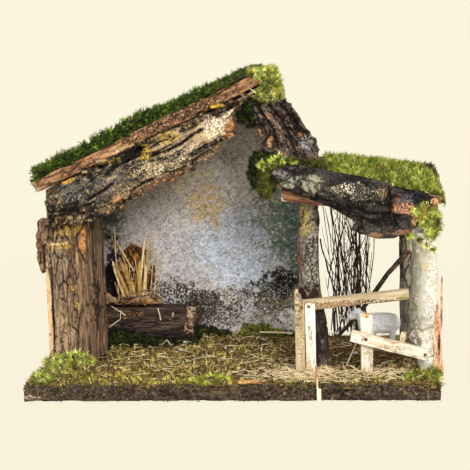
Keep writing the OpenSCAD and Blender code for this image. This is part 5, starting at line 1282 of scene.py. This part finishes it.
reed_finish = lot_finish("golden_reeds", [(144, 104, 50), (210, 172, 104), (188, 148, 78), (244, 226, 184),
    (216, 178, 104)], 0.55)
BOW_PARTS = 6
BEND_PARTS = 4
SHORT_REEDS = 16
SHORT_PARTS = 3
TROUGH_TOP = 58.5
CROSSING_Y = 81.5
dice = random.Random(8)
paths = []
for foot, head in runs_of("hay_reeds"):
    bow = Vector((dice.uniform(-1.5, 1.5), dice.uniform(-0.8, 0.8), 0)) * MM
    thick = dice.uniform(0.4, 0.8) * MM
    paths.append([(foot.lerp(head, n / BOW_PARTS) + bow * math.sin(math.pi * n / BOW_PARTS),
        thick * (1 - 0.4 * n / BOW_PARTS)) for n in range(BOW_PARTS + 1)])
for thick, corners in (
        (0.7, [(-145, 60), (-147, 109), (-147, 148)]),
        (3.4, [(-128, 60), (-131, 84), (-141, 107)]),
        (2.2, [(-131, 60), (-135, 73), (-146, 100)]),
        (3.0, [(-126, 58), (-129, 80), (-132, 88)]),
        (1.6, [(-137, 60), (-148, 96), (-150, 108)]),
        (1.5, [(-122, 60), (-115, 111), (-112, 134)]),
        (2.8, [(-120, 58), (-120, 92), (-118, 108)]),
        (1.2, [(-116, 58), (-114, 81), (-110, 121)]),
        (0.5, [(-113, 120), (-108, 136), (-97, 142)]),
        (0.5, [(-112, 100), (-106, 128), (-100, 134)]),
        (0.6, [(-128, 70), (-139, 118), (-146, 128)]),
        (2.0, [(-116, 58), (-113, 88), (-111, 104)]),
        (0.9, [(-137, 60), (-146, 70), (-149, 84)]),
        (2.4, [(-134, 58), (-139, 78), (-145, 90)])):
    y = dice.uniform(83, 90)
    stem = []
    for (x, z), (x2, z2) in zip(corners, corners[1:]):
        stem += [(Vector((x + (x2 - x) * n / BEND_PARTS, y, z + (z2 - z) * n / BEND_PARTS)) * MM,
            thick * MM * dice.uniform(0.85, 1.05)) for n in range(BEND_PARTS)]
    stem.append((Vector((x2, y, z2)) * MM, thick * MM * 0.6))
    paths.append(stem)
for _ in range(SHORT_REEDS):
    foot = Vector((dice.choice((-136, -130, -118, -114)) + dice.uniform(-4, 4), dice.uniform(82, 93),
        TROUGH_TOP))
    head = foot + Vector((dice.uniform(-12, 10), dice.uniform(-1, 4), dice.uniform(16, 46)))
    paths.append([(foot.lerp(head, n / SHORT_PARTS) * MM, 0.5 * MM) for n in range(SHORT_PARTS + 1)])
for thick, corners in (
        (0.6, [(-144, 131), (-132, 109), (-125, 97)]),
        (0.5, [(-151, 104), (-134, 96), (-120, 99)]),
        (0.6, [(-124, 92), (-112, 104), (-104, 96)]),
        (0.5, [(-136, 76), (-124, 84), (-110, 82)]),
        (0.7, [(-146, 92), (-140, 100), (-130, 92)]),
        (0.4, [(-112, 118), (-104, 124), (-98, 121)])):
    paths.append([(Vector((x, CROSSING_Y, z)) * MM, thick * MM) for x, z in corners])
tubes_of("hay_reeds_grown", "reed", reed_finish, paths, 6, "hay_reeds")


# The ground is a carpet of low dry moss glued to the board, yellow-green and brown,
# with brighter clumps, and straw and crumbs of bark trodden into it.
ground_bed = bed_finish("ground_earth", (50, 38, 22), (150, 128, 76), 5)
ground_leaf, tree, coords, shader = finish_of("ground_moss_leaf", 0.85)
lot = kept_value(tree, "lot")
spots = noise(tree, along(tree, coords, LEVEL, (26, 22, 22)), 1, 4, 0.6)
tufts = noise(tree, along(tree, coords, LEVEL, (7, 6, 6)), 1, 2, 0.5)
fine = noise(tree, along(tree, coords, LEVEL, (3, 3, 3)), 1, 2, 0.6)
greens = noise(tree, along(tree, coords, LEVEL, (38, 26, 30)), 1, 3, 0.6)
shade = blend(tree, rise(tree, times(tree, lot, fine, "ADD"), 0.5, 1.15), (122, 100, 50), (186, 166, 88))
shade = blend(tree, rise(tree, greens, 0.5, 0.64), shade, (150, 150, 66))
shade = blend(tree, rise(tree, spots, 0.5, 0.64), shade, (146, 118, 80))
shade = blend(tree, rise(tree, tufts, 0.54, 0.62), shade, (214, 200, 96))
shade = blend(tree, rise(tree, lot, 0.74, 0.86), shade, (236, 222, 150))
for paint, x, y, half_w, half_d, *rest in (
        ((136, 158, 60), -182, -84, 46, 44, 0.62, 5),
        ((216, 200, 80), -90, -84, 90, 40, 0.42, 5),
        ((158, 182, 60), -30, -106, 30, 14, 0.72, 5),
        ((140, 160, 62), 192, -96, 24, 22, 0.85, 5),
        ((84, 108, 34), 14, 96, 34, 14, 0.7, 5),
        # Painted shade: dark moss in the shadow under the manger log.
        ((36, 40, 18), -110, 56, 60, 26, 0.85, 5),
        ((112, 88, 62), 130, 16, 80, 76, 0.8, 5),
        ((44, 34, 24), -10, 62, 50, 12, 0.5, 4, 0.5),
        ((208, 184, 140), 104, -96, 60, 18, 0.55, 3, 0.5)):
    shade = patch(tree, coords, shade, paint, (x, y, 17), (half_w, half_d, 14), *rest)
shade = patch(tree, coords, shade, (98, 78, 60), (0, -119, 15), (220, 6, 6), 0.85, 4, 0.4)
shade = blend(tree, rise(tree, lot, 0, 0.2, 1, 0), shade, (58, 40, 26))
# The carpet's hollows are darkened as painted shade; the tufts noise varies the tone at random.
dim = times(tree, rise(tree, kept_value(tree, "lump"), 0.15, 0.85, 1.2, 0.5),
    rise(tree, tufts, 0.38, 0.6, 0.6, 1.2))
shade = vec(tree, "SCALE", shade, dim)
coat(tree, shader, shade, fine, 0.2)
moss("ground_moss_grown", "ground_moss", ["ground_moss"], ground_bed, ground_leaf, 2.5, count=0.05,
    size=1.3, shrink=0.4, lumps=2.2, lump_size=11, lean=(0, -0.1, 0.2), seed=23, hanging=0.0, side=3.0)
edge_bed = bed_finish("edge_earth", (30, 24, 22), (104, 88, 74), 3)
edge_leaf = moss_finish("edge_leaf", (40, 33, 30), (108, 92, 76), (170, 150, 120), (80, 66, 56), 0.3)
tuft("edge_earth_clods", "ground_moss", edge_bed, edge_leaf,
    flakes([(-204, -118, 12), (-100, -118, 12.5), (204, -118, 12.5)], 90, (3, 1.5, 3), (7, 3, 3.4), 20)
    + flakes([(-200, -119, 5), (204, -119, 5)], 46, (4, 0.6, 2.6), (8, 2, 2.4), 22), count=0.3, size=0.8,
    lean=(0, -0.4, -0.2), seed=45)
tuft("ground_clump_right", "ground_moss", ground_bed, shed_leaf,
    [((196, -98, 18), (12, 9, 6)), ((184, -102, 17), (8, 7, 5)), ((204, -92, 19), (6, 8, 6))], count=0.26,
    size=1.5, lean=(0, -0.1, 0.5), seed=41)
tuft("ground_clump_left", "ground_moss", ground_bed, tuft_leaf,
    [((-198, -36, 17), (8, 10, 7)), ((-184, -36, 20), (12, 6, 10)), ((-198, -90, 16), (9, 12, 5)),
    ((-170, -36, 21), (9, 6, 12)), ((-160, -34, 17), (7, 6, 10)), ((-188, -50, 16), (9, 8, 6)),
    ((-186, -104, 15), (10, 8, 5))], count=0.24, size=1.4, lean=(0, -0.1, 0.5), seed=43)
fresh_leaf = moss_finish("fresh_moss_leaf", (52, 66, 18), (124, 146, 44), (186, 198, 92), (96, 90, 44), 0.1)
tuft("ground_clump_wall", "ground_moss", ground_bed, fresh_leaf,
    [((6, 98, 22), (10, 6, 7)), ((20, 98, 22), (12, 6, 8)), ((36, 98, 18), (8, 5, 5))], count=0.26,
    size=1.2, lean=(0, -0.2, 0.4), seed=47)
lime_leaf = moss_finish("lime_moss_leaf", (122, 132, 40), (202, 208, 84), (240, 238, 150), (190, 170, 84),
    0.15)
tuft("ground_clump_front", "ground_moss", ground_bed, lime_leaf,
    [((-18, -102, 17.5), (12, 8, 4.5)), ((-6, -104, 17), (8, 8, 4)), ((-34, -104, 17), (9, 7, 3.6)),
    ((-24, -112, 16), (12, 4, 3))], count=0.26, size=1.1, lean=(0, -0.2, 0.4), seed=53)
# Painted shade: dark moss in the shadow under the manger and along the foot of the wall.
tuft("ground_clump_dark", "ground_moss", roof_bed, painted_shade_leaf,
    [((-142, 54, 24), (12, 6, 12)), ((-124, 54, 22), (14, 5, 9)), ((-104, 54, 20), (14, 5, 6)),
    ((-84, 54, 18), (14, 5, 5)), ((-62, 58, 18), (8, 5, 6)), ((-52, 96, 22), (10, 6, 8)),
    ((-38, 98, 20), (10, 6, 7)), ((-24, 96, 18), (9, 6, 6)), ((50, 98, 17), (8, 5, 4))], count=0.26,
    size=1.1, lean=(0, -0.3, 0.3), seed=49)

strewn, given, result = group_of("strewn_bits", "GeometryNodeTree",
    {"Geometry": ("Geometry", None), "Bits": ("Collection", None), "Count per m2": ("Float", 20000),
    "Lift": ("Float", 0.001), "Centre": ("Vector", (0, 0, 0)), "Reach": ("Vector", (0.2, 0.1, 0.05)),
    "Seed": ("Int", 1), "Low": ("Vector", (-1, -1, 0)), "High": ("Vector", (1, 1, 1)),
    "Finish": ("Material", None)}, {"Geometry": "Geometry"})
place = wire(strewn, "GeometryNodeInputPosition").outputs[0]
facing = wire(strewn, "GeometryNodeInputNormal").outputs[0]
off = vec(strewn, "DIVIDE", vec(strewn, "SUBTRACT", place, given["Centre"]), given["Reach"])
off = vec(strewn, "LENGTH", off)
near = span(strewn, off, 0.3, 1, 1, 0)
flat = span(strewn, wire(strewn, "ShaderNodeSeparateXYZ", {"Vector": facing}).outputs["Z"], 0.5, 0.8)
crowd = times(strewn, times(strewn, near, flat), given["Count per m2"])
dots = wire(strewn, "GeometryNodeDistributePointsOnFaces",
    {"Mesh": given[0], "Density": crowd, "Seed": given["Seed"]})
tip = chance(strewn, (-0.22, -0.22, 0), (0.22, 0.22, 6.283), 5)
big = chance(strewn, 0.5, 1.15, 9)
raised = wire(strewn, "ShaderNodeCombineXYZ", {"Z": given["Lift"]}).outputs[0]
spots = wire(strewn, "GeometryNodeSetPosition", {"Geometry": dots.outputs[0], "Offset": raised}).outputs[0]
kinds = wire(strewn, "GeometryNodeCollectionInfo",
    {"Collection": given["Bits"], "Separate Children": True, "Reset Children": True}).outputs[0]
laid = wire(strewn, "GeometryNodeInstanceOnPoints",
    {"Points": spots, "Instance": kinds, "Pick Instance": True, "Rotation": tip, "Scale": big}).outputs[0]
lot = chance(strewn, 0, 1, 11)
laid = mark(strewn, laid, "lot", lot, "INSTANCE")
laid = wire(strewn, "GeometryNodeRealizeInstances", {"Geometry": laid}).outputs[0]
laid = keep_inside(strewn, laid, given)
laid = wire(strewn, "GeometryNodeSetMaterial", {"Geometry": laid, "Material": given["Finish"]}).outputs[0]
strewn.links.new(laid, result[0])


def bit(name, places, wide, thick):
    """A straw or crumb: a flat closed run through places, all in mm."""
    shape = bmesh.new()
    rings = []
    for n, spot in enumerate(places):
        slim = 0.55 if n in (0, len(places) - 1) else 1
        across = Vector((0, wide * slim, 0))
        rings.append([shape.verts.new((Vector(spot) + c) * MM) for c in (
            across, Vector((0, 0, thick * slim)), -across)])
    for a, b in zip(rings, rings[1:]):
        for n in range(3):
            shape.faces.new((a[n], a[(n + 1) % 3], b[(n + 1) % 3], b[n]))
    shape.faces.new(rings[0][::-1])
    shape.faces.new(rings[-1])
    bmesh.ops.recalc_face_normals(shape, faces=shape.faces)
    return made_of(shape, name, False)


FIRST_SEED = 31
BOARD_LOW = mm((-211.5, -121.5, 0))
BOARD_HIGH = mm((211.5, 107.5, 60))
straws = bpy.data.collections.new("straw_bits")
crumbs = bpy.data.collections.new("crumb_bits")
for heap, name, places, wide, thick in (
        (straws, "straw_straight", [(-8, 0, 0), (0, 0.4, 0.3), (8, 0, 0)], 0.42, 0.5),
        (straws, "straw_bent", [(-6, -1, 0), (-1, 0.6, 0.8), (3, 1.2, 1.2), (7, 0, 0.2)], 0.38, 0.45),
        (straws, "straw_short", [(-3.5, 0, 0), (0.3, 0.3, 0.6), (3.5, 0, 0.2)], 0.5, 0.5),
        (crumbs, "crumb_chip", [(-1.8, 0, 0), (0, 0.3, 0.5), (1.8, 0, 0)], 1.0, 0.9),
        (crumbs, "crumb_long", [(-3.2, 0.3, 0), (0, -0.3, 0.7), (3, 0.2, 0.2)], 0.6, 0.6)):
    heap.objects.link(bit(name, places, wide, thick))


def strew(name, slot, finish, bits, fields, lift, *nodes):
    """Bits strewn on the ground in a few fields: centre and reach in mm, and count per square mm."""
    piece = None
    for seed, (centre, reach, count) in enumerate(fields):
        part = copy_of(name if not piece else name + "_more", "ground_moss")
        grow(part, strewn, bits=bits, count_per_m2=count / MM / MM, lift=lift * MM, centre=mm(centre),
             reach=mm(reach), seed=seed + FIRST_SEED, finish=finish, low=BOARD_LOW, high=BOARD_HIGH)
        settle(part)
        if piece:
            both = bmesh.new()
            both.from_mesh(piece.data)
            both.from_mesh(part.data)
            both.to_mesh(piece.data)
            both.free()
            bpy.data.objects.remove(part)
        else:
            piece = part
    declare(piece, slot, *nodes)


straw_finish = lot_finish("dry_straw", [
    (190, 156, 104), (246, 224, 180), (218, 188, 138), (254, 244, 216), (236, 212, 166)], 0.6)
strew("straw_strewn", "reed", straw_finish, straws,
    [((0, 0, 17), (280, 170, 60), 0.008), ((110, -90, 17), (110, 40, 60), 0.055),
    ((66, -80, 17), (44, 40, 60), 0.07), ((185, -75, 17), (36, 40, 60), 0.03)], 2.2, "straw_litter")
LOOSE_STALKS = 46
STALK_PARTS = 2
paths = []
dice = random.Random(77)
for thick, corners in (
        (1.1, [(17, 90, 22.4), (30, 90, 22), (44, 90, 21.6), (55, 90, 21)]),
        (0.8, [(127, -40, 40), (117, -40, 17)]),
        (0.5, [(-149, 59, 61), (-138, 58.5, 54), (-133, 58.5, 50)]),
        (0.5, [(-138, 58.5, 56), (-139, 58, 46), (-152, 57, 37)]),
        (0.7, [(-96, 61, 58), (-94, 60, 50), (-93, 59.5, 44)]),
        (0.8, [(-10, 98, 19), (-5, 97, 30)]),
        (0.6, [(-90, 44, 19), (-84, 40, 26), (-80, 38, 21)])):
    paths.append([(Vector(c) * MM, thick * MM) for c in corners])
for _ in range(LOOSE_STALKS):
    foot = Vector((dice.choice((72, 78, 84, 90, 137)) + dice.uniform(-9, 9), dice.uniform(-92, -74),
        dice.uniform(17, 20)))
    head = foot + Vector((dice.uniform(-13, 13), dice.uniform(-10, 4), dice.uniform(0.5, 8)))
    paths.append([(foot.lerp(head, n / STALK_PARTS) * MM + Vector((0, 0, dice.uniform(0, 0.6))) * MM,
        dice.uniform(0.35, 0.6) * MM) for n in range(STALK_PARTS + 1)])
tubes_of("straw_stalks", "reed", straw_finish, paths, 5)
crumb_finish = lot_finish("bark_crumbs", [(54, 38, 26), (104, 74, 48), (78, 54, 36), (150, 112, 72)], 0.9)
strew("crumbs_strewn", "ground_moss", crumb_finish, crumbs, [
    ((0, 0, 17), (290, 180, 60), 0.018), ((140, 20, 17), (80, 80, 60), 0.03)], 1.2)


# A resin sheep, cast in one piece, stands behind the fence. Its fleece is white with a cool painted shade
# between the curls, its eye is dark and its legs are painted greyer as shade under its body.
# The deep colour is painted shade between the curls; the last patch is painted shade on the legs, under the
# body.
sheep_finish = bark_of("sheep_fleece", LEVEL, (3, 3, 3), (255, 255, 255), (246, 249, 253), (222, 230, 240),
    (250, 252, 255), 0.0, [((250, 252, 255), (120, 20, 56), (5, 8, 6), 0.8, 3),
    ((96, 100, 112), (123, 14, 58), (1.4, 3, 1.4), 0.9, 2),
    ((160, 166, 176), (146, 20, 20), (40, 20, 10), 0.7, 3)], bump=0.2, roughness=0.7, fleck=0.1)
weather("sheep_curly", "sheep", sheep_finish, ["sheep_figurine"], 0.7, LEVEL, (4.2, 4.2, 4.2), crack=0.35,
    width=0.2, lump=0.7, grit=0.25, wobble=0.8, swell=0.5,
    lumps=flakes([(140, 20, 50), (152, 20, 52), (168, 20, 52)], 12, (4, 6, 3), (4, 4, 3), 51))


# Small white stones and dry curled leaves lie glued on the moss. The steel screws
# and brads come as they are from the CAD part, dull and a little rusty.
pebble_finish = bark_of("pebble_stone", LEVEL, (3, 3, 3), (240, 238, 230), (196, 192, 184), (130, 122, 112),
    (220, 216, 208), 0.3)
weather("pebbles_worn", "pebble", pebble_finish, ["pebbles"], 0.35, LEVEL, (2.6, 2.6, 2.6), crack=0.3,
    width=0.16, lump=0.5, grit=0.2, wobble=0.6)
leaf_finish = bark_of(
    "dry_leaf", LEVEL, (6, 2, 2), (250, 204, 142), (224, 162, 100), (120, 76, 44), (240, 196, 146), 0.5)
weather("leaves_curled", "leaf", leaf_finish, ["dry_leaves"], 0.45, LEVEL, (9, 3, 3), crack=0.4, width=0.14,
    lump=0.5, wobble=0.6, swell=0.6, lumps=[((14, -115, 19), (6, 4, 1.8)), ((24, -116, 19.6), (8, 4, 1.8)),
    ((31, -116, 18.8), (4, 3, 1.4))])
steel, tree, coords, shader = finish_of("dull_steel", 0.5)
rust = noise(tree, along(tree, coords, LEVEL, (1.5, 1.5, 1.5)), 1, 3, 0.6)
shade = blend(tree, rise(tree, rust, 0.4, 0.6), (120, 112, 104), (112, 74, 50))
shader.inputs["Metallic"].default_value = 0.6
coat(tree, shader, shade, rust, 0.05)
for node in ("post_screws", "wall_brads", "roof_brads", "fence_brads"):
    carried_over(node, steel)
